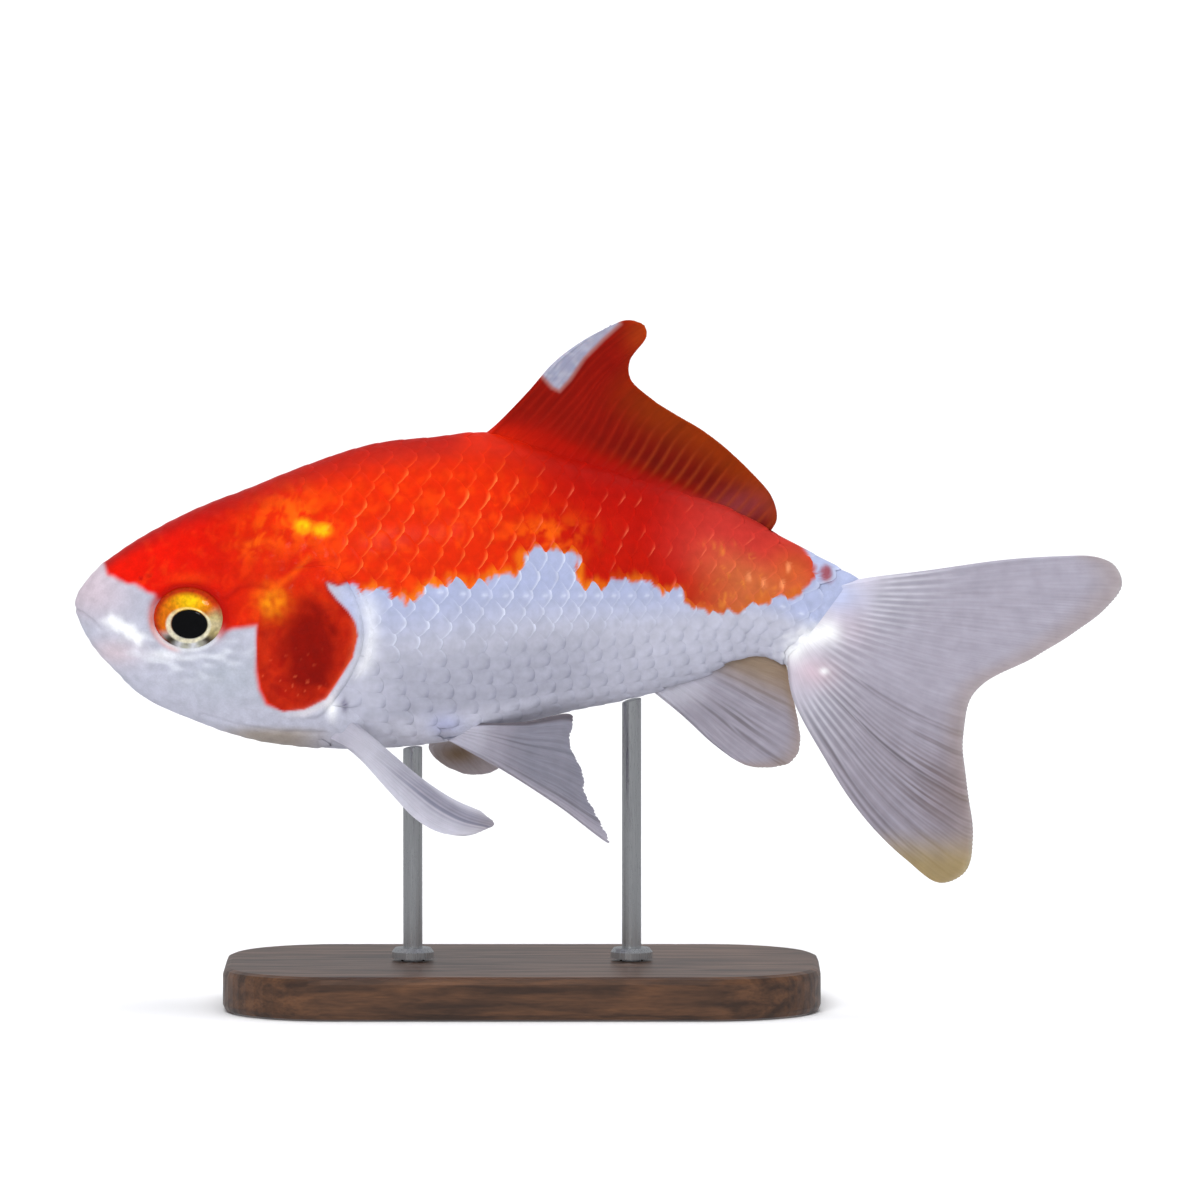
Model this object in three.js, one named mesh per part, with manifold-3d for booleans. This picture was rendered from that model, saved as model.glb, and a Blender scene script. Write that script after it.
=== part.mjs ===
// Common goldfish, red and white, life size, held on a low display stand.
// Millimetres, +Z up.  The fish's nose points to -X and its left side to -Y.
// The origin is the centre of the underside of the stand's base.

import * as THREE from "three";
import { mergeVertices } from "three/addons/utils/BufferGeometryUtils.js";
import Module from "manifold-3d";

const wasm = await Module();
wasm.setup();

// ---------- driving dimensions ----------

const CLEARANCE = 0.3;           // gap left between neighbouring pieces
const SNOUT_HEIGHT = 46;         // snout tip above the table
const SNOUT_AHEAD = 51;          // snout tip ahead of the middle of the base

const NOSE_RADIUS = 3.4;         // length over which the snout rounds off
const BODY_END = 87.6;           // where the flesh stops and the tail fin takes over
const RING_SIDES = 28;           // facets round the body
const RING_STEP = 2.6;           // spacing of the body's rings

const LEAN_START = 71;           // the tail root leans back from here
const LEAN_END = 85.1;
const LEAN_SLOPE = 0.667;        // how far back it leans for each unit of height

const FLEX_START = 55;           // the tail bends towards the left side from here
const FLEX_END = 120;
const FLEX_SWING = 18;           // sideways swing of the tail fin's tip

const GILL_COVER_THICKNESS = 1.0;
const EYE_RADII = { along: 3.95, across: 3.0, up: 3.3 };
const EYE_CENTRE = { along: 13.2, across: 4.5, up: -1.2 };

const FIN_ROOT_THICKNESS = 1.3;
const FIN_EDGE_THICKNESS = 0.55;

const BASE_LENGTH = 68;
const BASE_WIDTH = 40;
const BASE_HEIGHT = 5;
const BASE_CORNER = 12;
const BASE_BEVEL = 0.8;
const ROD_RADIUS = 1.1;
const ROD_SPACING = 25;
const ROD_SOCKET_DEPTH = 3;
const COLLAR_RADIUS = 2.4;
const COLLAR_HEIGHT = 1.2;

// Sections of the body from the snout back: the height of the back and of the belly
// above the snout tip, and half the width.
const BODY_SECTIONS = [
  { at: 0.0, back: 2.4, belly: -3.7, half: 3.0 },
  { at: 3.4, back: 4.7, belly: -6.6, half: 4.2 },
  { at: 7.4, back: 7.4, belly: -10.5, half: 5.4 },
  { at: 13.2, back: 10.5, belly: -13.3, half: 6.6 },
  { at: 20.0, back: 13.2, belly: -15.6, half: 7.8 },
  { at: 27.0, back: 16.0, belly: -16.6, half: 8.5 },
  { at: 34.0, back: 18.2, belly: -16.7, half: 8.9 },
  { at: 41.0, back: 19.0, belly: -16.1, half: 8.8 },
  { at: 47.3, back: 19.5, belly: -14.9, half: 8.4 },
  { at: 55.5, back: 17.3, belly: -12.7, half: 7.2 },
  { at: 64.5, back: 14.7, belly: -10.8, half: 5.6 },
  { at: 72.0, back: 12.1, belly: -8.4, half: 4.3 },
  { at: 75.2, back: 10.6, belly: -7.0, half: 3.8 },
  { at: 80.0, back: 7.2, belly: -6.0, half: 3.0 },
  { at: 85.1, back: 3.7, belly: -7.3, half: 2.1 },
  { at: 87.6, back: 3.0, belly: -7.6, half: 0.9 },
];

// ---------- curves ----------

// Height of a smooth curve through rows of one table, at a given station.
function smoothRow(rows, key, at) {
  const last = rows.length - 1;
  let i = 0;
  while (i < last - 1 && at > rows[i + 1].at) {
    i += 1;
  }
  const slopeAt = (j) => {
    const before = rows[Math.max(j - 1, 0)];
    const after = rows[Math.min(j + 1, last)];
    return (after[key] - before[key]) / (after.at - before.at);
  };
  const from = rows[i];
  const to = rows[i + 1];
  const span = to.at - from.at;
  const t = THREE.MathUtils.clamp((at - from.at) / span, 0, 1);
  const t2 = t * t;
  const t3 = t2 * t;
  return (2 * t3 - 3 * t2 + 1) * from[key] + (t3 - 2 * t2 + t) * span * slopeAt(i)
    + (3 * t2 - 2 * t3) * to[key] + (t3 - t2) * span * slopeAt(i + 1);
}

function leanAt(at) {
  const t = THREE.MathUtils.clamp((at - LEAN_START) / (LEAN_END - LEAN_START), 0, 1);
  return LEAN_SLOPE * t * t;
}

// The swimming bend: moves a point of the straight fish sideways with its mid-line.
function flex(point) {
  const t = Math.max((point.x - FLEX_START) / (FLEX_END - FLEX_START), 0);
  const slope = 2 * FLEX_SWING * t / (FLEX_END - FLEX_START);
  const turn = Math.atan(slope);
  const side = point.y;
  return new THREE.Vector3(
    point.x + side * Math.sin(turn),
    side * Math.cos(turn) - FLEX_SWING * t * t,
    point.z,
  );
}

// ---------- solids ----------

// Closed triangle mesh from a list of points and a list of faces.
function meshGeometry(points, faces) {
  const geometry = new THREE.BufferGeometry();
  geometry.setAttribute("position", new THREE.Float32BufferAttribute(
    points.flatMap((p) => [p.x, p.y, p.z]), 3));
  geometry.setIndex(faces.flat());
  return geometry;
}

function toSolid(geometry) {
  const bare = geometry.clone();
  bare.deleteAttribute("normal");
  bare.deleteAttribute("uv");
  const merged = mergeVertices(bare, 1e-4);
  return new wasm.Manifold(new wasm.Mesh({
    numProp: 3,
    vertProperties: new Float32Array(merged.attributes.position.array),
    triVerts: new Uint32Array(merged.index.array),
  }));
}

function toGeometry(solid) {
  const { vertProperties, triVerts, numProp } = solid.getMesh();
  const geometry = new THREE.BufferGeometry();
  const count = vertProperties.length / numProp;
  const positions = new Float32Array(count * 3);
  for (let i = 0; i < count; i += 1) {
    positions.set(vertProperties.subarray(i * numProp, i * numProp + 3), i * 3);
  }
  geometry.setAttribute("position", new THREE.BufferAttribute(positions, 3));
  geometry.setIndex(Array.from(triVerts));
  geometry.computeVertexNormals();
  return geometry;
}

function largestPiece(solid) {
  const pieces = solid.decompose();
  return pieces.reduce((best, piece) => (piece.volume() > best.volume() ? piece : best));
}

// ---------- body ----------

// Fullness of the section's sides: the head is round on top, the back is more of a ridge.
function upperFullness(at) {
  return 0.78 + 0.3 * THREE.MathUtils.smoothstep(at, 12, 40);
}

function lowerFullness(at) {
  return 0.8 + 0.15 * THREE.MathUtils.smoothstep(at, 45, 70);
}

// One point of the skin; growth moves it out, or in where negative.
function bodyPoint(at, angle, growth) {
  const round = at < NOSE_RADIUS ? Math.sqrt(1 - (1 - at / NOSE_RADIUS) ** 2) : 1;
  const back = smoothRow(BODY_SECTIONS, "back", at) * round + growth;
  const belly = smoothRow(BODY_SECTIONS, "belly", at) * round - growth;
  const half = Math.max(smoothRow(BODY_SECTIONS, "half", at) * round + growth, 0.05);
  const middle = (back + belly) / 2;
  const rise = (back - belly) / 2 * Math.sin(angle);
  const fullness = Math.sin(angle) > 0 ? upperFullness(at) : lowerFullness(at);
  const across = half * Math.sign(Math.cos(angle)) * Math.abs(Math.cos(angle)) ** fullness;
  return flex(new THREE.Vector3(at + leanAt(at) * rise, across, middle + rise));
}

function bodyStations(growth) {
  const stations = [];
  const noseRings = 5;
  for (let i = 1; i <= noseRings; i += 1) {
    stations.push(NOSE_RADIUS * (1 - Math.cos(i / noseRings * Math.PI / 2)));
  }
  const count = Math.round((BODY_END - NOSE_RADIUS) / RING_STEP);
  const length = BODY_END + growth - NOSE_RADIUS;
  for (let i = 1; i <= count; i += 1) {
    stations.push(NOSE_RADIUS + length * i / count);
  }
  return stations;
}

function bodySolid(growth = 0) {
  const stations = bodyStations(growth);
  const points = [new THREE.Vector3(-growth, 0, 0)];
  for (const at of stations) {
    for (let j = 0; j < RING_SIDES; j += 1) {
      points.push(bodyPoint(at, j / RING_SIDES * 2 * Math.PI, growth));
    }
  }
  const lastRing = 1 + (stations.length - 1) * RING_SIDES;
  const endCentre = points.length;
  const end = new THREE.Vector3();
  for (let j = 0; j < RING_SIDES; j += 1) {
    end.add(points[lastRing + j]);
  }
  points.push(end.divideScalar(RING_SIDES));
  const faces = [];
  for (let j = 0; j < RING_SIDES; j += 1) {
    const next = (j + 1) % RING_SIDES;
    faces.push([0, 1 + next, 1 + j]);
    faces.push([endCentre, lastRing + j, lastRing + next]);
    for (let i = 0; i < stations.length - 1; i += 1) {
      const near = 1 + i * RING_SIDES;
      const far = near + RING_SIDES;
      faces.push([near + j, far + next, far + j]);
      faces.push([near + j, near + next, far + next]);
    }
  }
  return toSolid(meshGeometry(points, faces));
}

// A prism across the fish, from an outline given in side view.
function sidePrism(outline, from, to) {
  const shape = new THREE.Shape(outline.map(([x, z]) => new THREE.Vector2(x, z)));
  const geometry = new THREE.ExtrudeGeometry(shape, { depth: to - from, bevelEnabled: false });
  geometry.rotateX(Math.PI / 2);
  geometry.translate(0, to, 0);
  return toSolid(geometry);
}

// The rear edge of the head: down from the nape, round the gill cover, to the throat.
const HEAD_EDGE = [
  [24.5, 30], [24.5, 15], [27.2, 8.5], [30.2, 4.2], [32.3, 0.5], [33.0, -2.6],
  [32.4, -6.0], [30.6, -9.3], [28.3, -12.2], [27.6, -15.0], [27.6, -30],
];

// The front edge of the gill cover, from its top forward and down to its lower rear corner.
const GILL_COVER_FRONT = [
  [27.4, 4.6], [24.0, 3.4], [21.7, 0.6], [20.9, -3.4], [21.0, -7.2], [22.0, -10.4],
  [24.2, -12.3], [26.6, -12.7],
];

function smoothOutline(points, steps) {
  const curve = new THREE.SplineCurve(points.map(([x, z]) => new THREE.Vector2(x, z)));
  return curve.getSpacedPoints(steps).map((p) => [p.x, p.y]);
}

function shifted(points, along) {
  return points.map(([x, z]) => [x + along, z]);
}

// The outline of one gill cover, or of its bed where margin is positive.
function gillCoverOutline(margin) {
  const rear = HEAD_EDGE.slice(3, 9);
  const outline = [...GILL_COVER_FRONT, ...rear.reverse()];
  const centre = [27, -4.3];
  return smoothOutline([...outline, outline[0]], 28).slice(0, -1).map(([x, z]) => {
    const out = new THREE.Vector2(x - centre[0], z - centre[1]);
    const reach = out.length();
    out.multiplyScalar((reach + margin) / reach);
    return [centre[0] + out.x, centre[1] + out.y];
  });
}

const body = bodySolid();
const grownBody = bodySolid(CLEARANCE);

const WIDE = 40;
const headEdge = smoothOutline(HEAD_EDGE, 24);
const headPrism = sidePrism(
  [[-10, 30], [-10, -30], ...shifted(headEdge, -CLEARANCE / 2).reverse()], -WIDE, WIDE);
const PEDUNCLE_CUT = [[80.2, 14], [74.6, -14]];
const trunkPrism = sidePrism(
  [...shifted(headEdge, CLEARANCE / 2), ...shifted(PEDUNCLE_CUT, -CLEARANCE / 2).reverse()],
  -WIDE, WIDE);
const pedunclePrism = sidePrism(
  [...shifted(PEDUNCLE_CUT, CLEARANCE / 2), [110, -14], [110, 14]], -WIDE, WIDE);

// A layer under an outer surface, on one side, within an outline.
function sideLayer(outer, depth, outline, side) {
  const prism = side < 0 ? sidePrism(outline, -WIDE, -0.5) : sidePrism(outline, 0.5, WIDE);
  return outer.subtract(bodySolid(-depth)).intersect(prism);
}

function gillCover(side) {
  const outline = gillCoverOutline(-CLEARANCE);
  const plate = sideLayer(body, GILL_COVER_THICKNESS, outline, side);
  return largestPiece(plate.intersect(headPrism));
}

function eyeSolid(side, growth) {
  const geometry = new THREE.SphereGeometry(1, 20, 10);
  geometry.scale(
    EYE_RADII.along + growth, EYE_RADII.across + growth, EYE_RADII.up + growth);
  geometry.translate(EYE_CENTRE.along, side * EYE_CENTRE.across, EYE_CENTRE.up);
  return toSolid(geometry);
}

function headSolid() {
  let head = body.intersect(headPrism);
  for (const side of [-1, 1]) {
    head = head.subtract(eyeSolid(side, CLEARANCE));
    const bed = gillCoverOutline(0);
    head = head.subtract(sideLayer(grownBody, GILL_COVER_THICKNESS + CLEARANCE, bed, side));
  }
  return largestPiece(head);
}

// ---------- fins ----------

function curveThrough(points) {
  const vectors = points.map(([x, z, y = 0]) => new THREE.Vector3(x, y, z));
  return new THREE.CatmullRomCurve3(vectors, false, "centripetal");
}

// A fin is a sheet between four edges: its root on the body, its leading edge, its margin
// and its trailing edge.  Every edge is a list of [along, up, across].
function finSheet(fin, columns, rows) {
  const root = curveThrough([fin.lead[0], ...fin.root, fin.trail[0]]);
  const lead = curveThrough(fin.lead);
  const trail = curveThrough(fin.trail);
  const margin = curveThrough([fin.lead.at(-1), ...fin.margin, fin.trail.at(-1)]);
  const sheet = (a, b) => {
    const corners = root.getPointAt(0).multiplyScalar((1 - a) * (1 - b))
      .addScaledVector(root.getPointAt(1), a * (1 - b))
      .addScaledVector(margin.getPointAt(0), (1 - a) * b)
      .addScaledVector(margin.getPointAt(1), a * b);
    const point = root.getPointAt(a).multiplyScalar(1 - b)
      .addScaledVector(margin.getPointAt(a), b)
      .addScaledVector(lead.getPointAt(b), 1 - a)
      .addScaledVector(trail.getPointAt(b), a);
    return flex(point.sub(corners));
  };
  const points = [];
  const step = 0.01;
  for (const face of [-1, 1]) {
    for (let i = 0; i <= columns; i += 1) {
      for (let j = 0; j <= rows; j += 1) {
        const a = i / columns;
        const b = j / rows;
        const a0 = Math.max(a - step, 0);
        const b0 = Math.max(b - step, 0);
        const alongRoot = sheet(Math.min(a + step, 1), b).sub(sheet(a0, b));
        const alongRay = sheet(a, Math.min(b + step, 1)).sub(sheet(a, b0));
        const normal = alongRoot.cross(alongRay).normalize();
        const thickness = THREE.MathUtils.lerp(FIN_ROOT_THICKNESS, FIN_EDGE_THICKNESS, b);
        points.push(sheet(a, b).addScaledVector(normal, face * thickness / 2));
      }
    }
  }
  const at = (face, i, j) => (face * (columns + 1) + i) * (rows + 1) + j;
  const faces = [];
  const quad = (p, q, r, s) => faces.push([p, q, r], [p, r, s]);
  for (let i = 0; i < columns; i += 1) {
    for (let j = 0; j < rows; j += 1) {
      quad(at(0, i, j), at(0, i, j + 1), at(0, i + 1, j + 1), at(0, i + 1, j));
      quad(at(1, i, j), at(1, i + 1, j), at(1, i + 1, j + 1), at(1, i, j + 1));
    }
    quad(at(0, i, 0), at(0, i + 1, 0), at(1, i + 1, 0), at(1, i, 0));
    quad(at(1, i, rows), at(1, i + 1, rows), at(0, i + 1, rows), at(0, i, rows));
  }
  for (let j = 0; j < rows; j += 1) {
    quad(at(1, 0, j), at(1, 0, j + 1), at(0, 0, j + 1), at(0, 0, j));
    quad(at(0, columns, j), at(0, columns, j + 1), at(1, columns, j + 1), at(1, columns, j));
  }
  return toSolid(meshGeometry(points, faces)).subtract(grownBody);
}

function finSolid(fin, columns, rows) {
  return largestPiece(finSheet(fin, columns, rows));
}

const DORSAL_FIN = {
  root: [[52, 17.0], [58, 15.4], [66, 13.0], [74, 9.8]],
  lead: [[45.0, 18.2], [47.4, 19.8], [51.6, 24.0], [54.6, 27.4], [57.6, 29.7], [60.5, 31.3]],
  margin: [[63.0, 32.3], [65.0, 31.7], [65.2, 30.4], [63.3, 27.6], [63.4, 25.6], [66.2, 23.0],
    [72.4, 19.2], [76.6, 15.6], [79.5, 12.2]],
  trail: [[78.6, 7.4], [80.0, 9.6]],
};

const CAUDAL_FIN = {
  root: [[87.6, -0.2], [86.6, -3.6], [84.4, -5.7]],
  lead: [[86.7, 2.6], [91.5, 3.4], [97.0, 4.2], [105.2, 5.6], [110.9, 6.2], [115.2, 6.3]],
  margin: [[117.3, 5.3], [118.1, 3.1], [116.0, 0.1], [108.9, -5.1], [102.9, -8.5],
    [101.4, -10.5, -0.3], [100.7, -15.4, -0.6], [101.1, -21.6, -1.0], [101.7, -27.0, -1.3],
    [100.8, -29.6, -1.4]],
  trail: [[81.2, -6.2, -0.5], [82.1, -10.6, -1.2], [86.0, -17.6, -1.6], [88.9, -22.1, -1.6],
    [92.0, -25.8, -1.5], [95.0, -28.5, -1.5], [98.3, -30.5, -1.5]],
};

// The tail fin parts into its two lobes along the line from its root to the fork.
const LOBE_CUT = [[82, -0.2], [106, -10.4]];

function caudalLobe(isUpper) {
  const [[x0, z0], [x1, z1]] = LOBE_CUT;
  const half = CLEARANCE / 2;
  const reach = isUpper ? 40 : -40;
  const offset = isUpper ? half : -half;
  const window = sidePrism([
    [x0, z0 + offset], [x1, z1 + offset], [x1 + WIDE, z1 + offset],
    [x1 + WIDE, z0 + reach], [x0 - 10, z0 + reach], [x0 - 10, z0 + offset],
  ], -WIDE, WIDE);
  return largestPiece(finSheet(CAUDAL_FIN, 22, 7).intersect(window));
}

const ANAL_FIN = {
  root: [[68.6, -8.4], [72.0, -6.8]],
  lead: [[65.0, -9.4], [69.2, -12.8], [73.0, -16.2], [76.3, -18.3]],
  margin: [[79.0, -18.7], [81.6, -18.0, 0.5], [82.5, -16.3, 0.8], [82.2, -12.9, 1.0],
    [81.4, -9.4, 0.8]],
  trail: [[75.0, -5.4], [78.0, -6.2, 0.2], [80.5, -6.8, 0.4]],
};

const PELVIC_FIN_LEFT = {
  root: [[44.8, -14.8, -2.4]],
  lead: [[43.2, -15.4, -1.6], [49.0, -18.8, -4.6], [55.3, -22.7, -7.4], [61.0, -26.3, -9.4]],
  margin: [[59.4, -23.4, -9.0], [58.3, -21.1, -8.6], [58.2, -19.4, -7.9],
    [56.4, -15.6, -6.6]],
  trail: [[46.6, -13.6, -3.2], [51.4, -13.2, -4.6], [56.7, -12.4, -5.6]],
};

const PELVIC_FIN_RIGHT = {
  root: [[44.8, -14.8, 2.4]],
  lead: [[43.2, -15.4, 1.6], [40.8, -18.0, 6.4], [40.4, -19.7, 11.0], [41.4, -20.8, 15.4]],
  margin: [[44.2, -21.2, 16.4], [47.4, -20.7, 15.2], [50.2, -19.5, 12.6]],
  trail: [[46.6, -13.6, 3.2], [49.6, -15.8, 6.6], [51.4, -17.5, 10.0]],
};

const PECTORAL_FIN_LEFT = {
  root: [[29.6, -13.4, -5.4]],
  lead: [[29.2, -14.8, -4.0], [33.2, -18.1, -8.6], [38.6, -23.1, -12.4], [42.0, -24.7, -13.6],
    [45.2, -25.0, -13.8]],
  margin: [[47.0, -24.6, -13.2], [47.8, -23.9, -12.0], [47.4, -23.3, -10.6]],
  trail: [[30.6, -12.0, -5.6], [35.6, -16.2, -7.2], [40.6, -20.1, -8.2], [46.1, -22.9, -9.6]],
};

const PECTORAL_FIN_RIGHT = {
  root: [[29.6, -13.4, 5.4]],
  lead: [[29.2, -14.8, 4.0], [31.6, -15.2, 10.0], [35.0, -14.8, 15.4], [39.0, -13.6, 19.6]],
  margin: [[41.4, -12.6, 20.8], [43.2, -11.8, 20.0], [43.6, -11.4, 18.0]],
  trail: [[30.6, -12.0, 5.6], [35.4, -12.0, 9.4], [39.6, -11.6, 12.8], [42.8, -11.3, 15.8]],
};

// ---------- stand ----------

function baseSolid() {
  const halfLength = BASE_LENGTH / 2 - BASE_BEVEL;
  const halfWidth = BASE_WIDTH / 2 - BASE_BEVEL;
  const shape = new THREE.Shape();
  shape.moveTo(-halfLength + BASE_CORNER, -halfWidth);
  shape.lineTo(halfLength - BASE_CORNER, -halfWidth);
  shape.absarc(halfLength - BASE_CORNER, -halfWidth + BASE_CORNER, BASE_CORNER, -Math.PI / 2, 0);
  shape.absarc(halfLength - BASE_CORNER, halfWidth - BASE_CORNER, BASE_CORNER, 0, Math.PI / 2);
  shape.absarc(-halfLength + BASE_CORNER, halfWidth - BASE_CORNER, BASE_CORNER,
    Math.PI / 2, Math.PI);
  shape.absarc(-halfLength + BASE_CORNER, -halfWidth + BASE_CORNER, BASE_CORNER,
    Math.PI, Math.PI * 1.5);
  const geometry = new THREE.ExtrudeGeometry(shape, {
    depth: BASE_HEIGHT - 2 * BASE_BEVEL,
    bevelSize: BASE_BEVEL,
    bevelThickness: BASE_BEVEL,
    bevelSegments: 2,
    curveSegments: 7,
  });
  geometry.translate(0, 0, BASE_BEVEL);
  let base = toSolid(geometry);
  for (const side of [-1, 1]) {
    const hole = new THREE.CylinderGeometry(
      ROD_RADIUS + CLEARANCE, ROD_RADIUS + CLEARANCE, ROD_SOCKET_DEPTH * 2, 20);
    hole.rotateX(Math.PI / 2);
    hole.translate(side * ROD_SPACING / 2, 0, BASE_HEIGHT);
    base = base.subtract(toSolid(hole));
  }
  return base;
}

// A rod turned in one piece with the collar that rests just over the base.
function rodSolid(side, fish) {
  const foot = BASE_HEIGHT - ROD_SOCKET_DEPTH + CLEARANCE;
  const collarFoot = BASE_HEIGHT + CLEARANCE;
  const top = SNOUT_HEIGHT;
  const profile = [
    [0, foot], [ROD_RADIUS, foot], [ROD_RADIUS, collarFoot], [COLLAR_RADIUS, collarFoot],
    [COLLAR_RADIUS, collarFoot + COLLAR_HEIGHT * 0.6],
    [COLLAR_RADIUS * 0.85, collarFoot + COLLAR_HEIGHT],
    [ROD_RADIUS, collarFoot + COLLAR_HEIGHT], [ROD_RADIUS, top], [0, top],
  ].map(([radius, height]) => new THREE.Vector2(radius, height));
  const geometry = new THREE.LatheGeometry(profile, 20);
  geometry.rotateX(Math.PI / 2);
  geometry.translate(side * ROD_SPACING / 2, 0, 0);
  return largestPiece(toSolid(geometry).subtract(fish));
}

// ---------- the model ----------

const FINISHES = {
  flesh: { color: 0xe2400f, roughness: 0.35, metalness: 0.0 },
  eye: { color: 0xd8b25a, roughness: 0.12, metalness: 0.1 },
  fin: { color: 0xcfc9d6, roughness: 0.45, metalness: 0.0 },
  red_fin: { color: 0x9a2408, roughness: 0.45, metalness: 0.0 },
  base: { color: 0x2e2119, roughness: 0.45, metalness: 0.0 },
  rod: { color: 0xb9bcc0, roughness: 0.25, metalness: 1.0 },
};

const group = new THREE.Group();
const fishGroup = new THREE.Group();
fishGroup.position.set(-SNOUT_AHEAD, 0, SNOUT_HEIGHT);
group.add(fishGroup);

function addNode(parent, name, solid, finish) {
  const material = new THREE.MeshStandardMaterial(FINISHES[finish]);
  const mesh = new THREE.Mesh(toGeometry(solid), material);
  mesh.name = name;
  parent.add(mesh);
}

addNode(fishGroup, "head", headSolid(), "flesh");
addNode(fishGroup, "gill_cover_left", gillCover(-1), "flesh");
addNode(fishGroup, "gill_cover_right", gillCover(1), "flesh");
addNode(fishGroup, "eye_left", eyeSolid(-1, 0), "eye");
addNode(fishGroup, "eye_right", eyeSolid(1, 0), "eye");
addNode(fishGroup, "trunk", largestPiece(body.intersect(trunkPrism)), "flesh");
addNode(fishGroup, "tail_root", largestPiece(body.intersect(pedunclePrism)), "flesh");
addNode(fishGroup, "dorsal_fin", finSolid(DORSAL_FIN, 20, 4), "red_fin");
addNode(fishGroup, "caudal_fin_upper", caudalLobe(true), "fin");
addNode(fishGroup, "caudal_fin_lower", caudalLobe(false), "fin");
addNode(fishGroup, "anal_fin", finSolid(ANAL_FIN, 11, 4), "fin");
addNode(fishGroup, "pelvic_fin_left", finSolid(PELVIC_FIN_LEFT, 8, 5), "fin");
addNode(fishGroup, "pelvic_fin_right", finSolid(PELVIC_FIN_RIGHT, 8, 5), "fin");
addNode(fishGroup, "pectoral_fin_left", finSolid(PECTORAL_FIN_LEFT, 6, 9), "fin");
addNode(fishGroup, "pectoral_fin_right", finSolid(PECTORAL_FIN_RIGHT, 6, 9), "fin");

const fishOverStand = grownBody.translate([-SNOUT_AHEAD, 0, SNOUT_HEIGHT]);
addNode(group, "stand_base", baseSolid(), "base");
addNode(group, "stand_rod_front", rodSolid(-1, fishOverStand), "rod");
addNode(group, "stand_rod_rear", rodSolid(1, fishOverStand), "rod");

export default group;
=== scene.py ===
"""The looks of a life-size museum model of a red and white goldfish, held over a small base by two rods.

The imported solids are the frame. The fish is worked out in millimetres in its own axes: x runs from the tip
of the snout to the tail, y to the fish's right and z up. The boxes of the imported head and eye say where
that is.
"""

import math

import bpy
import numpy as np
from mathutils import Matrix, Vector


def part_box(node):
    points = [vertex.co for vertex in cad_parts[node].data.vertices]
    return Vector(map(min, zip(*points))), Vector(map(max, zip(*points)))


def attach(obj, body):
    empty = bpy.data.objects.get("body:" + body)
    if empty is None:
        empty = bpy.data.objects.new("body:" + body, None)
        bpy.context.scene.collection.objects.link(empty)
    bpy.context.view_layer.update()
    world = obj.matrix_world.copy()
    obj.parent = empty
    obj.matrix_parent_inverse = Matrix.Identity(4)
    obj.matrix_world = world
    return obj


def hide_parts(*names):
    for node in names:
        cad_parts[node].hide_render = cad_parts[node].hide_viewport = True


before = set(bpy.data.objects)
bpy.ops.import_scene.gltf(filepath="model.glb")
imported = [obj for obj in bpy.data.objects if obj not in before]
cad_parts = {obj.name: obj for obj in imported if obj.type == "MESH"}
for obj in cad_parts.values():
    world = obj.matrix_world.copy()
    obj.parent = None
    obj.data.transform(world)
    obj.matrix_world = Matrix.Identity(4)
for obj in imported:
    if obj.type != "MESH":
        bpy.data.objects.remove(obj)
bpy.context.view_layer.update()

MM = 0.001
LEFT, RIGHT = -1, 1
random = np.random.default_rng(7)

EYE_UP = -1.2  # the eye's centre, from the line of the snout's tip
SNOUT_AHEAD = -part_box("head")[0].x / MM
SNOUT_HEIGHT = (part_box("eye_left")[0].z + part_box("eye_left")[1].z) / 2 / MM - EYE_UP


# ---------------------------------------------------------------- small tools

GOLDEN_TURN = 2.399  # so that no two waves lie in line


def fade(low, high, value):
    """0 at low and 1 at high, with a soft start and end; low may be the larger of the two."""
    t = np.clip((value - low) / (high - low), 0, 1)
    return t * t * (3 - 2 * t)


def hump(distance, width):
    """1 at no distance, falling softly to 0 over about twice the width."""
    return np.exp(-(distance / width) ** 2)


def paint(red, green, blue):
    """A colour given by its 0 to 255 screen values, as light."""
    screen = np.array([red, green, blue]) / 255
    return np.where(screen <= 0.04045, screen / 12.92, ((screen + 0.055) / 1.055) ** 2.4)


def plain(screen, like):
    """One colour, given by its screen values, at each of some points."""
    return np.broadcast_to(paint(*screen), (*np.shape(like), 3))


def blend(first, second, share):
    """From the first colour to the second by a share at each point."""
    share = np.asarray(share)[..., None]
    return first * (1 - share) + second * share


def layered(colour, *coats):
    """A colour under coats of paint, each given by its screen values and its share at each point."""
    for screen, share in coats:
        colour = blend(colour, paint(*screen), share)
    return colour


def dimmed(colour, amount):
    """A colour darkened by an amount at each point."""
    return colour * (1 - np.asarray(amount))[..., None]


def ripple(x, z, size, seed):
    """Soft uneven waves from about -1 to 1, each about size across."""
    total = 0
    for k in range(6):
        turn = seed * 1.7 + k * GOLDEN_TURN
        wave = 2 * math.pi / size * (0.55 + 0.17 * k)
        total = total + np.sin((x * math.cos(turn) + z * math.sin(turn)) * wave + seed * 5.1 + k * 1.3)
    return total / 3


def mottle(x, z, size, seed):
    """Ripples bent by wider ones, which look less even."""
    bend_x, bend_z = ripple(x, z, size * 2.3, seed + 40), ripple(z, x, size * 2.3, seed + 50)
    return ripple(x + size * 0.45 * bend_x, z + size * 0.45 * bend_z, size, seed)


def oval(x, z, centre, radii):
    """How far out a point lies from the middle of an upright oval, which is 1 on the oval itself."""
    return np.hypot((x - centre[0]) / radii[0], (z - centre[1]) / radii[1])


def spot(x, z, centre, radii):
    """1 in the middle of an upright oval, falling softly to 0 outside it."""
    return hump(oval(x, z, centre, radii), 1)


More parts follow.
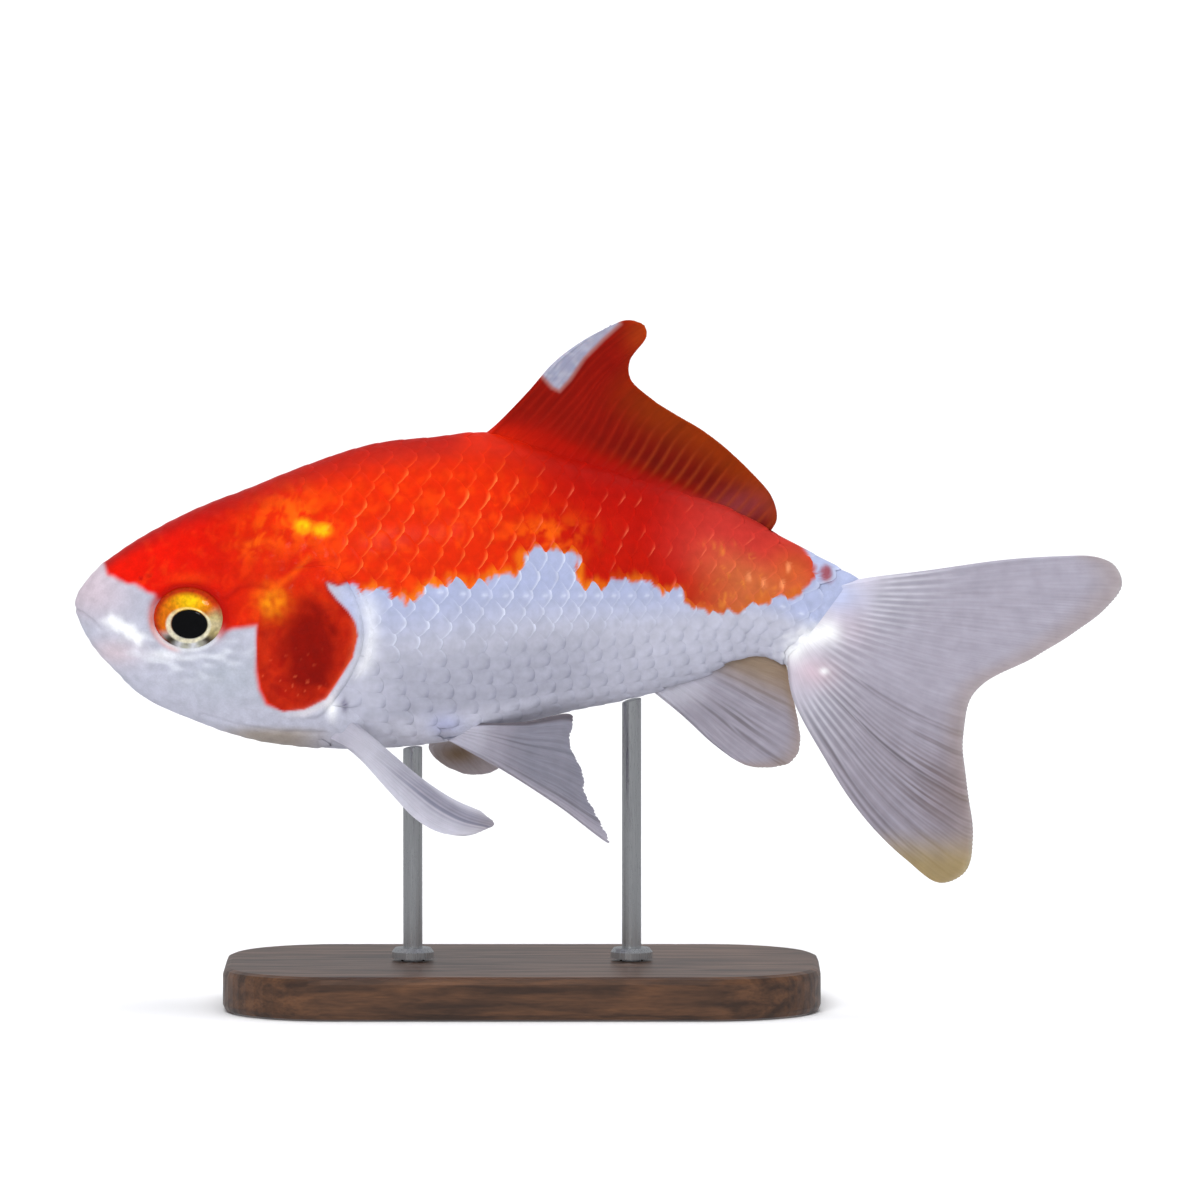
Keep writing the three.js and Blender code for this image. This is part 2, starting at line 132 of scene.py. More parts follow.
def line_distance(x, z, line):
    """Distance from each point to a bent line."""
    nearest = np.full(np.shape(x), np.inf)
    for (x0, z0), (x1, z1) in zip(line[:-1], line[1:]):
        dx, dz = x1 - x0, z1 - z0
        t = np.clip(((x - x0) * dx + (z - z0) * dz) / (dx * dx + dz * dz), 0, 1)
        nearest = np.minimum(nearest, np.hypot(x - x0 - t * dx, z - z0 - t * dz))
    return nearest


def depth_inside(x, z, outline):
    """Distance from each point to a closed outline, less than 0 outside it."""
    closed = [*outline, outline[0]]
    inside = np.zeros(np.shape(x), bool)
    for (x0, z0), (x1, z1) in zip(closed[:-1], closed[1:]):
        if z0 != z1:
            crosses = (z0 > z) != (z1 > z)
            inside ^= crosses & (x < x0 + (z - z0) * (x1 - x0) / (z1 - z0))
    return np.where(inside, 1, -1) * line_distance(x, z, closed)


def unit(vectors):
    """Vectors of length 1."""
    return vectors / np.maximum(np.linalg.norm(vectors, axis=-1, keepdims=True), 1e-9)


# ---------------------------------------------------------------- shape of the body, as in the solids

NOSE_RADIUS = 3.4
BODY_END = 87.6
LEAN_START, LEAN_END, LEAN_SLOPE = 71.0, 85.1, 0.667
FLEX_START, FLEX_END, FLEX_SWING = 55.0, 120.0, 18.0
DENSE_STEPS = 1440  # round each section, to find even steps
BODY_SECTIONS = np.array([
    # station, back, belly, half width
    (0.0, 2.4, -3.7, 3.0),
    (3.4, 4.7, -6.6, 4.2),
    (7.4, 7.4, -10.5, 5.4),
    (13.2, 10.5, -13.3, 6.6),
    (20.0, 13.2, -15.6, 7.8),
    (27.0, 16.0, -16.6, 8.5),
    (34.0, 18.2, -16.7, 8.9),
    (41.0, 19.0, -16.1, 8.8),
    (47.3, 19.5, -14.9, 8.4),
    (55.5, 17.3, -12.7, 7.2),
    (64.5, 14.7, -10.8, 5.6),
    (72.0, 12.1, -8.4, 4.3),
    (75.2, 10.6, -7.0, 3.8),
    (80.0, 7.2, -6.0, 3.0),
    (85.1, 3.7, -7.3, 2.1),
    (87.6, 3.0, -7.6, 0.9),
])
BACK, BELLY, HALF = 1, 2, 3
HEAD_EDGE = [
    (24.5, 30.0), (24.5, 15.0), (27.2, 8.5), (30.2, 4.2), (32.3, 0.5), (33.0, -2.6),
    (32.4, -6.0), (30.6, -9.3), (28.3, -12.2), (27.6, -15.0), (27.6, -30.0),
]
GILL_COVER_FRONT = [
    (27.4, 4.6), (24.0, 3.4), (21.7, 0.6), (20.9, -3.4),
    (21.0, -7.2), (22.0, -10.4), (24.2, -12.3), (26.6, -12.7),
]
BARE_PATCHES = [((30.6, -14.0), (3.0, 2.6)), ((45.4, -14.6), (2.6, 1.4))]  # at the bases of the paired fins


def section(column, at):
    """Back, belly or half width at each station, on the smooth curve through the sections."""
    key, value = BODY_SECTIONS[:, 0], BODY_SECTIONS[:, column]
    last = len(key) - 1
    before, after = np.maximum(np.arange(len(key)) - 1, 0), np.minimum(np.arange(len(key)) + 1, last)
    slope = (value[after] - value[before]) / (key[after] - key[before])
    i = np.clip(np.searchsorted(key, at) - 1, 0, last - 1)
    span = key[i + 1] - key[i]
    t = np.clip((at - key[i]) / span, 0, 1)
    t2, t3 = t ** 2, t ** 3
    return ((2 * t3 - 3 * t2 + 1) * value[i] + (t3 - 2 * t2 + t) * span * slope[i]
            + (3 * t2 - 2 * t3) * value[i + 1] + (t3 - t2) * span * slope[i + 1])


def height_up(x, z):
    """0 on the belly's edge and 1 on the back's, as seen from the side."""
    back, belly = section(BACK, x), section(BELLY, x)
    return (z - belly) / np.maximum(back - belly, 1)


def fullness(at, rise):
    """How rounded a section is above and below its middle: a lower number is a boxier one."""
    return np.where(rise > 0, 0.78 + 0.3 * fade(12, 40, at), 0.8 + 0.15 * fade(45, 70, at))


def flexed(x, y, z):
    """The tail's sideways sweep."""
    t = np.maximum((x - FLEX_START) / (FLEX_END - FLEX_START), 0)
    turn = np.arctan(2 * FLEX_SWING * t / (FLEX_END - FLEX_START))
    return np.stack([x + y * np.sin(turn), y * np.cos(turn) - FLEX_SWING * t ** 2, z + 0 * x], -1)


def body_point(at, angle):
    """A point of the body's surface, at an angle round its section from the fish's right side."""
    round_off = np.sqrt(np.clip(1 - (1 - np.minimum(at / NOSE_RADIUS, 1)) ** 2, 0, 1))
    back, belly = section(BACK, at) * round_off, section(BELLY, at) * round_off
    half = np.maximum(section(HALF, at) * round_off, 0.05)
    rise = (back - belly) / 2 * np.sin(angle)
    across = half * np.sign(np.cos(angle)) * np.abs(np.cos(angle)) ** fullness(at, np.sin(angle))
    lean = LEAN_SLOPE * np.clip((at - LEAN_START) / (LEAN_END - LEAN_START), 0, 1) ** 2
    return flexed(at + lean * rise, across, (back + belly) / 2 + rise)


class BodyGrid:
    """The body's surface at given stations and at even steps round each section.

    The share of the way round is 0 on the belly's midline, grows up the left side to 0.5 on the back's
    midline, and comes down the right side.
    """

    def __init__(self, stations, columns):
        self.stations = stations
        self.columns = columns
        angle = -math.pi / 2 - np.linspace(0, 2 * math.pi, DENSE_STEPS + 1)
        dense = body_point(stations[:, None], angle[None, :])
        walked = np.cumsum(np.linalg.norm(np.diff(dense, axis=1), axis=2), axis=1)
        walked = np.concatenate([np.zeros((len(stations), 1)), walked], axis=1)
        self.round = walked[:, -1]
        share = np.arange(columns) / columns
        self.points = np.empty((len(stations), columns, 3))
        for k in range(len(stations)):
            for axis in range(3):
                self.points[k, :, axis] = np.interp(share * self.round[k], walked[k], dense[k, :, axis])
        along = np.gradient(self.points, stations, axis=0)
        around = np.roll(self.points, -1, axis=1) - np.roll(self.points, 1, axis=1)
        self.normals = unit(np.cross(along, around))

    def look_up(self, at, share):
        """Surface point and outward normal between the grid's own, whose stations are evenly spaced."""
        rows = len(self.stations)
        i = np.clip(np.interp(at, self.stations, np.arange(rows)), 0, rows - 1.001)
        j = np.mod(share, 1) * self.columns
        i0, j0 = np.floor(i).astype(int), np.floor(j).astype(int) % self.columns
        ti, tj = (i - i0)[..., None], (j - np.floor(j))[..., None]
        j1 = (j0 + 1) % self.columns
        found = []
        for table in (self.points, self.normals):
            low = table[i0, j0] * (1 - tj) + table[i0, j1] * tj
            high = table[i0 + 1, j0] * (1 - tj) + table[i0 + 1, j1] * tj
            found.append(low * (1 - ti) + high * ti)
        return found


def head_edge(z):
    """Where the bare head gives way to the scales, at each height."""
    edge_x, edge_z = zip(*HEAD_EDGE[::-1])
    return np.interp(z, edge_z, edge_x)


def coat_edge(z):
    """Where the scales begin, a little behind the gill cover's bare rim."""
    return head_edge(z) + 1.1 * fade(-10.5, -7, z) * fade(4, 1, z)


def bare(x, z):
    """Less than 1 in the bare flesh at the bases of the paired fins."""
    return np.min([oval(x, z, centre, radii) for centre, radii in BARE_PATCHES], axis=0)


def tail_taper(at):
    """How far the body's end sinks into the root of the tail fin."""
    return 0.5 * fade(84.6, BODY_END, at)


# ---------------------------------------------------------------- meshes

MAP_MARGIN = 0.01


def on_map(share):
    """A share from 0 to 1, kept off the edges of the map for baking."""
    return share * (1 - 2 * MAP_MARGIN) + MAP_MARGIN


def grid_quads(rows, columns, start=0, wrap=False, flip=False):
    """Quads between neighbours of a grid of vertices, which may join round in its columns."""
    i, j = np.meshgrid(np.arange(rows - 1), np.arange(columns if wrap else columns - 1), indexing="ij")
    here, beside = (i * columns + j).ravel(), (i * columns + (j + 1) % columns).ravel()
    quads = np.stack([here, here + columns, beside + columns, beside], 1)
    return start + (quads[:, ::-1] if flip else quads)


def strip(first, second):
    """Quads between two equal rows of vertices."""
    return np.stack([first[:-1], first[1:], second[1:], second[:-1]], 1)


def fan(ring, centre):
    """Triangles from a closed ring of vertices to one in its middle."""
    return np.stack([ring, np.roll(ring, -1), np.full(len(ring), centre)], 1)


def add_object(name, data):
    made = bpy.data.objects.new(name, data)
    bpy.context.scene.collection.objects.link(made)
    return made


def piece(name, points, quads, triangles, material, uv, sharp=None, **kept):
    """A mesh in the frame, from points in the fish's millimetres, with values kept at its vertices.

    It is smooth but for the quads marked as sharp.
    """
    points = np.asarray(points, float).reshape(-1, 3)
    placed = (points + (-SNOUT_AHEAD, 0, SNOUT_HEIGHT)) * MM
    mesh = bpy.data.meshes.new(name)
    corners = np.concatenate([np.ravel(quads), np.ravel(triangles)]).astype(np.int32)
    sizes = np.concatenate([np.full(len(quads), 4), np.full(len(triangles), 3)]).astype(np.int32)
    mesh.vertices.add(len(placed))
    mesh.vertices.foreach_set("co", placed.astype(np.float32).ravel())
    mesh.loops.add(len(corners))
    mesh.loops.foreach_set("vertex_index", corners)
    mesh.polygons.add(len(sizes))
    mesh.polygons.foreach_set("loop_start", (np.cumsum(sizes) - sizes).astype(np.int32))
    smooth = np.ones(len(sizes), bool)
    if sharp is not None:
        smooth[:len(quads)] = ~sharp
    mesh.polygons.foreach_set("use_smooth", smooth)
    mesh.update(calc_edges=True)
    layer = mesh.uv_layers.new(name="OFBake")
    layer.data.foreach_set("uv", np.asarray(uv).reshape(-1, 2)[corners].astype(np.float32).ravel())
    for key, value in kept.items():
        value = np.asarray(value, float)
        if value.shape[-1] == 3 and value.ndim > 1:
            colour = np.concatenate([value.reshape(-1, 3), np.ones((len(placed), 1))], 1)
            mesh.attributes.new(key, "FLOAT_COLOR", "POINT").data.foreach_set("color", colour.ravel())
        else:
            mesh.attributes.new(key, "FLOAT", "POINT").data.foreach_set("value", value.ravel())
    mesh.materials.append(material)
    return add_object(name, mesh)


# ---------------------------------------------------------------- markings, painted highlights and painted shade

EYE_CENTRE = (13.1, -1.3)
EYE_RADII = (3.95, 3.5)
RED_OUTLINE_HEAD = [
    (3.0, 30.0), (3.2, 4.6), (3.9, 3.5), (5.3, 2.8), (7.1, 2.3), (8.3, 1.6), (9.6, 1.1), (13.0, -1.5),
    (16.4, -3.3), (18.1, -2.5), (19.6, -2.3), (20.9, -2.1), (20.9, -5.0), (20.8, -7.4), (21.1, -9.4),
    (21.9, -11.2), (23.9, -12.0), (26.2, -11.7), (28.8, -10.3), (30.2, -8.2), (31.8, -5.6), (32.4, -3.1),
    (32.1, -1.6), (31.3, -0.3), (30.0, 1.0), (29.1, 2.2), (28.9, 2.9), (30.2, 2.5),
]
RED_OUTLINE_FLANK = [
    (31.6, 3.0), (33.0, 2.1), (35.0, 2.3), (36.3, 1.5), (37.9, 0.6), (39.3, 1.3), (39.8, 2.7), (42.0, 2.5),
    (43.6, 3.4), (46.0, 2.4), (47.7, 3.6), (50.9, 3.8), (51.3, 6.0), (53.4, 6.4), (57.4, 6.0), (57.8, 2.8),
    (59.9, 2.2), (62.3, 2.9), (65.1, 2.9), (67.2, 1.5), (68.9, 2.0), (70.0, 0.1), (72.5, -0.7), (76.2, -0.8),
    (77.4, 0.5), (81.9, 0.9), (83.5, 2.3),
]
RED_OUTLINE_END = [(84.8, 3.5), (84.5, 4.9), (83.2, 6.5), (81.8, 9.0), (81.8, 30.0)]
GOLD_SPOTS = [((26.2, 9.2), (1.0, 0.85)), ((28.3, 8.8), (1.15, 0.75))]
REAR_FLECKS = [(76.8, 3.3), (78.5, 2.6), (80.6, 2.5), (81.3, 4.4)]
LAST_SPOT = [(85.6, 3.7), (0.7, 1.0)]
# lines of painted highlight on the snout and at the tail's root
SNOUT_GLEAM = [(4.3, -1.9), (5.8, -2.6), (7.3, -3.7)]
TAIL_GLEAM = [(82.2, -5.4), (83.4, -4.2), (84.2, -3.8), (86.2, -3.0)]


def other_flank():
    """The far side's own lower edge of the red, which wanders differently."""
    x = np.arange(31.6, 84, 2.0)
    z = 1.9 + 1.3 * np.sin(x * 0.17 + 0.8) + 0.8 * np.sin(x * 0.61)
    return list(zip(x, z))


RED_OUTLINE = {
    LEFT: RED_OUTLINE_HEAD + RED_OUTLINE_FLANK + RED_OUTLINE_END,
    RIGHT: RED_OUTLINE_HEAD + other_flank() + RED_OUTLINE_END,
}


def red_depth(x, z, left):
    """How deep in the red marking each point lies, less than 0 in the white."""
    return np.where(left, depth_inside(x, z, RED_OUTLINE[LEFT]), depth_inside(x, z, RED_OUTLINE[RIGHT]))


def red_paint(x, z):
    """The red half's colours: orange mottle in front, painted shade along the back's top, darkest by the
    dorsal fin, pink and tan to the rear.
    """
    up = height_up(x, z)
    patchy = mottle(x, z, 3.4, 1) * 0.6 + mottle(x, z, 1.2, 2) * 0.4
    front = fade(60, 44, x) * fade(14, 24, x)
    head = fade(22, 10, x)
    warm = spot(x, z, (25.0, 10.2), (3.6, 3.0)) + spot(x, z, (54.0, 8.2), (4.2, 2.0))
    warm += spot(x, z, (20.6, 7.3), (2.0, 1.8)) * 0.7
    gold = np.min([oval(x, z, centre, radii) for centre, radii in GOLD_SPOTS], axis=0)
    gold = fade(1.5, 0.3, gold) * (0.85 + 0.25 * ripple(x, z, 0.9, 33))
    fleck = fade(0.5, 1.2, mottle(x * 1.9, z * 0.6, 1.5, 12)) * fade(70, 74, x)
    colour = layered(
        plain((188, 20, 2), x),
        ((238, 50, 4), front * 0.6),
        ((246, 70, 6), front * fade(-0.2, 0.9, patchy) * fade(0.98, 0.8, up) * 0.55),
        ((226, 20, 3), head * 0.9),
        ((242, 58, 12), head * fade(0, 1, patchy) * 0.45),
        ((182, 16, 6), fade(50, 62, x) * fade(0.55, 0.78, up) * fade(76, 66, x) * 0.8),
        ((204, 62, 54), fade(64, 74, x) * fade(0.48, 0.7, up) * 0.8),
        ((204, 106, 60), fade(68, 77, x) * fade(0.86, 0.58, up) * 0.9),
        ((244, 98, 8), np.clip(warm, 0, 1) * fade(-0.6, 0.6, patchy) * 0.8),
        ((240, 72, 8), spot(x, z, (13.2, 3.1), (2.2, 0.8)) * 0.45),
        ((198, 20, 4), spot(x, z, (24.4, 4.2), (3.6, 2.2)) * 0.7),
        ((252, 190, 10), np.clip(gold, 0, 1)),
        # painted shade along the back's top, by the dorsal fin
        ((158, 12, 4), fade(0.76, 0.96, up) * hump(x - 60, 13) * 0.6),
        ((232, 140, 52), fleck * fade(0.85, 0.7, up) * 0.5),
        ((206, 96, 46), spot(x, z, (81.8, 3.8), (2.8, 2.4)) * 0.85),
        *[((246, 150, 96), fade(1.5, 0.4, oval(x, z, place, (0.25, 0.6))) * 0.8) for place in REAR_FLECKS],
    )
    colour = dimmed(colour, 0.08 * fade(58, 68, x))
    # painted shade along the back's top edge, stronger in front
    return layered(colour, ((148, 10, 8), fade(0.88, 1, up) * (0.75 - 0.6 * fade(42, 46, x))))


def white_paint(x, z):
    """The white half's colours: pearl, with lilac, blue and warm tints, painted highlights and painted shade
    low on the flank.
    """
    up = height_up(x, z)
    behind_cover = x - head_edge(z)
    low = fade(0.40, 0.22, up) * fade(0.06, 0.13, up) * fade(33, 38, x)
    # painted highlights on the snout, below the eye, at the tail's root and behind the gill cover, with a
    # white spot by the pectoral fin
    gleams_and_spot = hump(line_distance(x, z, SNOUT_GLEAM), 0.8 + 0.2 * ripple(x, z, 1.4, 19))
    gleams_and_spot += 0.6 * spot(x, z, (10.4, -5.6), (2.2, 0.6))
    gleams_and_spot += hump(line_distance(x, z, TAIL_GLEAM), 1.5 + 0.4 * mottle(x, z, 1.8, 14))
    gleams_and_spot += 0.55 * hump(behind_cover - 1.0, 1.0) * fade(-9, -6.5, z) * fade(1.5, -2.5, z)
    gleams_and_spot += 0.35 * hump(behind_cover - 1.3, 1.5) * fade(-2, 0, z) * fade(3, 1, z)
    gleams_and_spot += spot(x, z, (29.4, -11.5), (0.6, 1.1))
    return layered(
        plain((184, 185, 200), x),
        ((166, 176, 212), fade(0.30, 0.52, up) * fade(29, 32, x) * 0.8),
        # painted shade low on the flank, where it turns under
        ((166, 167, 182), low * fade(66, 54, x) * 0.9),
        # painted light on the lowest belly, against its shading
        ((206, 207, 222), fade(0.13, 0.07, up) * hump(x - 41, 8) * 0.9),
        ((176, 182, 220), spot(x, z, (42.3, -13.6), (2.0, 1.3)) * 0.7),
        ((172, 178, 190), spot(x, z, (17.5, -8.0), (5.0, 3.0)) * 0.7),
        ((205, 187, 196), fade(9, 2, x) * fade(-3.5, 1.5, z) * 0.8),
        ((208, 188, 194), spot(x, z, (4.6, -5.4), (3.0, 1.6)) * 0.7),
        ((160, 150, 142), fade(-13.4, -14.9, z) * fade(14, 21, x) * fade(31, 24, x)),
        ((250, 251, 253), np.clip(gleams_and_spot, 0, 1) * 0.95),
        ((84, 76, 104), spot(x, z, (30.9, -11.2), (0.32, 0.75)) * 0.95),
    )


def flesh_colour(x, z, depth):
    """Skin and scales alike: red or white by the depth in the red marking, in millimetres."""
    soft = 0.17 + 0.09 * fade(36, 33, x) + 0.16 * fade(24, 20, x)
    colour = blend(white_paint(x, z), red_paint(x, z), fade(-soft, soft, depth))
    return layered(colour, ((150, 62, 70), fade(1.3, 0.6, oval(x, z, *LAST_SPOT)) * 0.9))


# ---------------------------------------------------------------- skin

SKIN_COLUMNS = 320
TIP_STEPS = 26  # round the snout's tip
FINE_STEP, COARSE_STEP = 0.2, 0.45  # between the skin's stations, on the head and behind it
FINE_END = 34
COAT_DEPTH = 0.30  # from the scales' outer face down to the skin
PLATE_RISE, PLATE_GROOVE = 0.30, 0.22  # of the gill cover
SOCKET_DEPTH = 1.7
MOUTH = [(-0.4, -0.5), (0.9, -0.9), (2.2, -1.7), (3.3, -2.9)]
JAW_FOLD = [(3.9, -0.4), (4.4, -2.2), (4.4, -4.0), (3.8, -5.4)]
PECTORAL_LOBE = [(29.8, -12.9), (31.4, -14.6)]
THROAT_FOLD = [(14.5, -12.6), (18.3, -13.7), (23.5, -14.5), (28.8, -14.6)]
CHEEK_RIDGE = [(21.3, 1.7), (23.0, 2.3), (25.0, 3.7), (26.9, 5.7)]
TEMPLE_FOLD = [(17.4, 1.0), (19.0, 2.2), (20.6, 2.5), (22.0, 2.2)]
# each with its line, rise and width
HEAD_FOLDS = [(JAW_FOLD, -0.05, 0.3), (CHEEK_RIDGE, 0.10, 0.4), (TEMPLE_FOLD, -0.08, 0.3)]
EYE_FOLDS = [(1.10, 0.13, 0.08), (1.24, -0.07, 0.05)]  # out from the eye's middle, rise, width
LOWER_EYE_FOLDS = [(1.40, 0.05, 0.06), (1.52, -0.05, 0.05)]
NOSTRILS = [((7.7, 3.1), (0.28, 0.24)), ((8.6, 3.4), (0.42, 0.3))]


def smooth_outline(points, steps):
    """More points on the smooth closed curve through the given ones."""
    ring = np.array(points)
    t = (np.arange(steps) / steps)[None, :, None]
    p0, p1, p2, p3 = (np.roll(ring, turn, 0)[:, None] for turn in (1, 0, -1, -2))
    curve = (2 * p1 + (p2 - p0) * t + (2 * p0 - 5 * p1 + 4 * p2 - p3) * t ** 2
             + (3 * p1 - p0 - 3 * p2 + p3) * t ** 3) / 2
    return curve.reshape(-1, 2).tolist()


GILL_COVER = smooth_outline(HEAD_EDGE[3:9] + GILL_COVER_FRONT[::-1], 6)
GILL_FRONT = GILL_COVER_FRONT[1:7]


def skin_height(x, y, z):
    """How far the skin lies from the solids' surface: folds and pits on the head, a bed for the scales."""
    behind = x - coat_edge(z)
    covered = fade(0.1, 0.9 + 1.8 * fade(3, 7, z), behind) * fade(0.7, 1.1, bare(x, z))
    side_on = fade(0.6, 2.0, np.abs(y))
    height = -COAT_DEPTH * covered - 0.03 + 0.8 * hump(line_distance(x, z, PECTORAL_LOBE), 1.0) * side_on

    plate = depth_inside(x, z, GILL_COVER)
    front = line_distance(x, z, GILL_FRONT)
    height += PLATE_RISE * fade(-0.15, 0.25, plate) * fade(0.2, 4.0, front) * side_on
    height -= PLATE_GROOVE * hump(plate + 0.35, 0.25) * fade(0.3, 3.0, front) * fade(-13, -8, z) * side_on
    height -= 0.05 * hump(front, 0.3) * side_on
    height += 0.06 * ripple(x, z, 3.0, 5) * fade(0.3, 1.2, plate)

    mouth = line_distance(x, z, MOUTH)
    height += (0.04 * hump(mouth - 0.40, 0.26) - 0.10 * hump(mouth, 0.14)) * fade(3.7, 2.6, x)
    height -= 0.16 * hump(line_distance(x, z, THROAT_FOLD), 0.22) * side_on
    for line, rise, width in HEAD_FOLDS:
        height += rise * hump(line_distance(x, z, line), width)
    for centre, radii in NOSTRILS:
        rim = oval(x, z, centre, radii)
        height += 0.05 * hump(rim - 1.35, 0.35) - 0.16 * fade(1.05, 0.5, rim)

    eye = oval(x, z, EYE_CENTRE, EYE_RADII)
    below = fade(0.5, -2.5, z - EYE_CENTRE[1])
    for folds, where in ((EYE_FOLDS, 1), (LOWER_EYE_FOLDS, below)):
        for out, rise, width in folds:
            height += rise * hump(eye - out, width) * where
    height -= SOCKET_DEPTH * fade(1.02, 0.84, eye)
    return height + 0.035 * ripple(x, z, 1.6, 3) * fade(33, 29, x) * fade(1.0, 1.3, eye)


def skin_colour(x, y, z):
    """The skin's colours, with the head's own: marks round the eye, the gill cover's dark middle, painted
    shade in the head's folds, pits and gill slit, and painted highlights on the rims of the eye and gill
    cover.
    """
    depth = red_depth(x, z, y < 0) + 0.10 * ripple(x, z, 1.7, 4) * fade(20, 16, x)
    plate = depth_inside(x, z, GILL_COVER)
    past_front = fade(0.5, 3.0, line_distance(x, z, GILL_FRONT))
    cover = fade(-0.1, 0.1, depth) * fade(-0.2, 0.2, plate) * fade(4.2, -0.6, z)
    patchy = np.clip(0.5 + 0.3 * mottle(x, z, 2.6, 13) + 0.2 * mottle(x, z, 1.0, 15), 0, 1)
    centre = oval(x, z, (27.0, -4.6), (3.4, 5.6)) + 0.14 * mottle(x, z, 3.6, 8)
    rear_line = hump(depth - 0.12, 0.16) * fade(27.5, 29, x) * fade(-7, -3, z) * fade(3.4, 2.6, z)
    fleck = fade(1.0, 1.4, ripple(x, z, 0.9, 9)) * fade(-3, -7, z)
    cover_rim_gleam = hump(depth + 0.45, 0.4) * fade(23, 27, x) * fade(-8, -11, z)
    eye = oval(x, z, EYE_CENTRE, EYE_RADII)
    below_eye = fade(1.1, 1.3, eye) * fade(2.5, 1.5, eye) * fade(-2.5, -5.0, z)
    wrinkle = ripple(x * 0.55 + z * 0.7, z - x * 0.3, 1.9, 21)
    silver = fade(-0.2, 1.0, wrinkle) * below_eye * fade(0.1, -0.3, depth)
    colour = blend(flesh_colour(x, z, depth), blend(paint(166, 20, 2), paint(192, 38, 5), patchy), cover)
    colour = layered(
        colour,
        ((136, 11, 0), cover * fade(1.2, 0.55, centre)),
        ((120, 16, 18), rear_line * fade(33.5, 33, x) * 0.6),
        ((232, 96, 60), cover * fleck * 0.4),
        # painted highlight along the gill cover's lower rim
        ((236, 230, 232), cover_rim_gleam * 0.5),
        # silvery skin under the eye, its pale streaks partly painted glints
        ((232, 235, 242), silver * 0.55),
    )
    # painted shade between the wrinkles under the eye
    colour = dimmed(colour, 0.07 * fade(0.2, 1.1, -wrinkle) * below_eye)

    gold = spot(x, z, (22.7, 0.7), (1.5, 1.6)) * (0.8 + 0.35 * ripple(x, z, 1.3, 6))
    turn = np.arctan2(z - EYE_CENTRE[1], x - EYE_CENTRE[0])
    above = fade(-0.6, 0.3, np.sin(turn + 0.35))
    ahead = hump(eye - 1.05, 0.10) * fade(0.1, 0.5, -np.cos(turn)) * (1 - above)
    eye_rim_gleam = hump(eye - 1.02, 0.10) * (1 - above) * fade(-0.2, 0.6, np.cos(turn + 1.4))
    colour = layered(
        colour,
        ((250, 142, 12), np.clip(gold, 0, 1)),
        ((244, 92, 10), hump(line_distance(x, z, CHEEK_RIDGE), 0.4) * 0.5),
        ((222, 84, 44), hump(plate - 0.6, 0.5) * past_front * cover * 0.9),
        # painted shade in the temple fold
        ((176, 14, 4), hump(line_distance(x, z, TEMPLE_FOLD), 0.3) * 0.5),
        # painted shade along the eye's upper rim
        ((168, 9, 1), hump(eye - 1.07, 0.14) * above * 0.85),
        ((204, 84, 50), ahead * 0.85),
        # painted highlight along the eye's lower rim
        ((228, 230, 236), eye_rim_gleam * 0.8),
    )
    # painted shade in the groove behind the gill cover's rim
    colour = dimmed(colour, 0.228 * hump(plate + 0.28, 0.2) * past_front * fade(-12, -7, z))
    # painted shade in the nostril pits
    pit = sum(fade(1.1, 0.7, oval(x, z, centre, radii)) for centre, radii in NOSTRILS)
    colour = layered(colour, ((150, 16, 6), pit * 0.25))
    # painted shade in the mouth's cleft
    return dimmed(colour, 0.12 * hump(line_distance(x, z, MOUTH), 0.16) * fade(3.7, 2.8, x))


def make_skin(material):
    """One closed skin from the snout's tip to the root of the tail fin."""
    tip = NOSE_RADIUS * (1 - np.cos(np.linspace(0.02, math.pi / 2, TIP_STEPS)))
    head = np.arange(NOSE_RADIUS + FINE_STEP, FINE_END, FINE_STEP)
    rear = np.arange(FINE_END, BODY_END - 0.1, COARSE_STEP)
    stations = np.concatenate([tip, head, rear, [BODY_END]])
    grid = BodyGrid(stations, SKIN_COLUMNS)
    x, y, z = np.moveaxis(grid.points, 2, 0)
    last_scales = 0.14 * fade(83.2, 84.6, stations) * fade(87.0, 85.8, stations)
    height = skin_height(x, y, z) + (last_scales - tail_taper(stations))[:, None]
    points = grid.points + grid.normals * height[..., None]
    count = len(stations) * SKIN_COLUMNS
    first, last = np.arange(SKIN_COLUMNS), np.arange(count - SKIN_COLUMNS, count)
    colour = skin_colour(x, y, z)
    share = np.arange(SKIN_COLUMNS) / SKIN_COLUMNS
    uv = np.stack(np.meshgrid(on_map(stations / BODY_END), on_map(share), indexing="ij"), -1)
    return piece(
        "skin",
        np.concatenate([points.reshape(-1, 3), [points[0].mean(0), points[-1].mean(0)]]),
        grid_quads(len(stations), SKIN_COLUMNS, wrap=True),
        np.concatenate([fan(first, count), fan(last, count + 1)[:, ::-1]]),
        material,
        np.concatenate([uv.reshape(-1, 2), [(0.005, 0.5), (0.995, 0.5)]]),
        tint=np.concatenate([colour.reshape(-1, 3), colour[0, :1], colour[-1, :1]]),
    )


# ---------------------------------------------------------------- scales

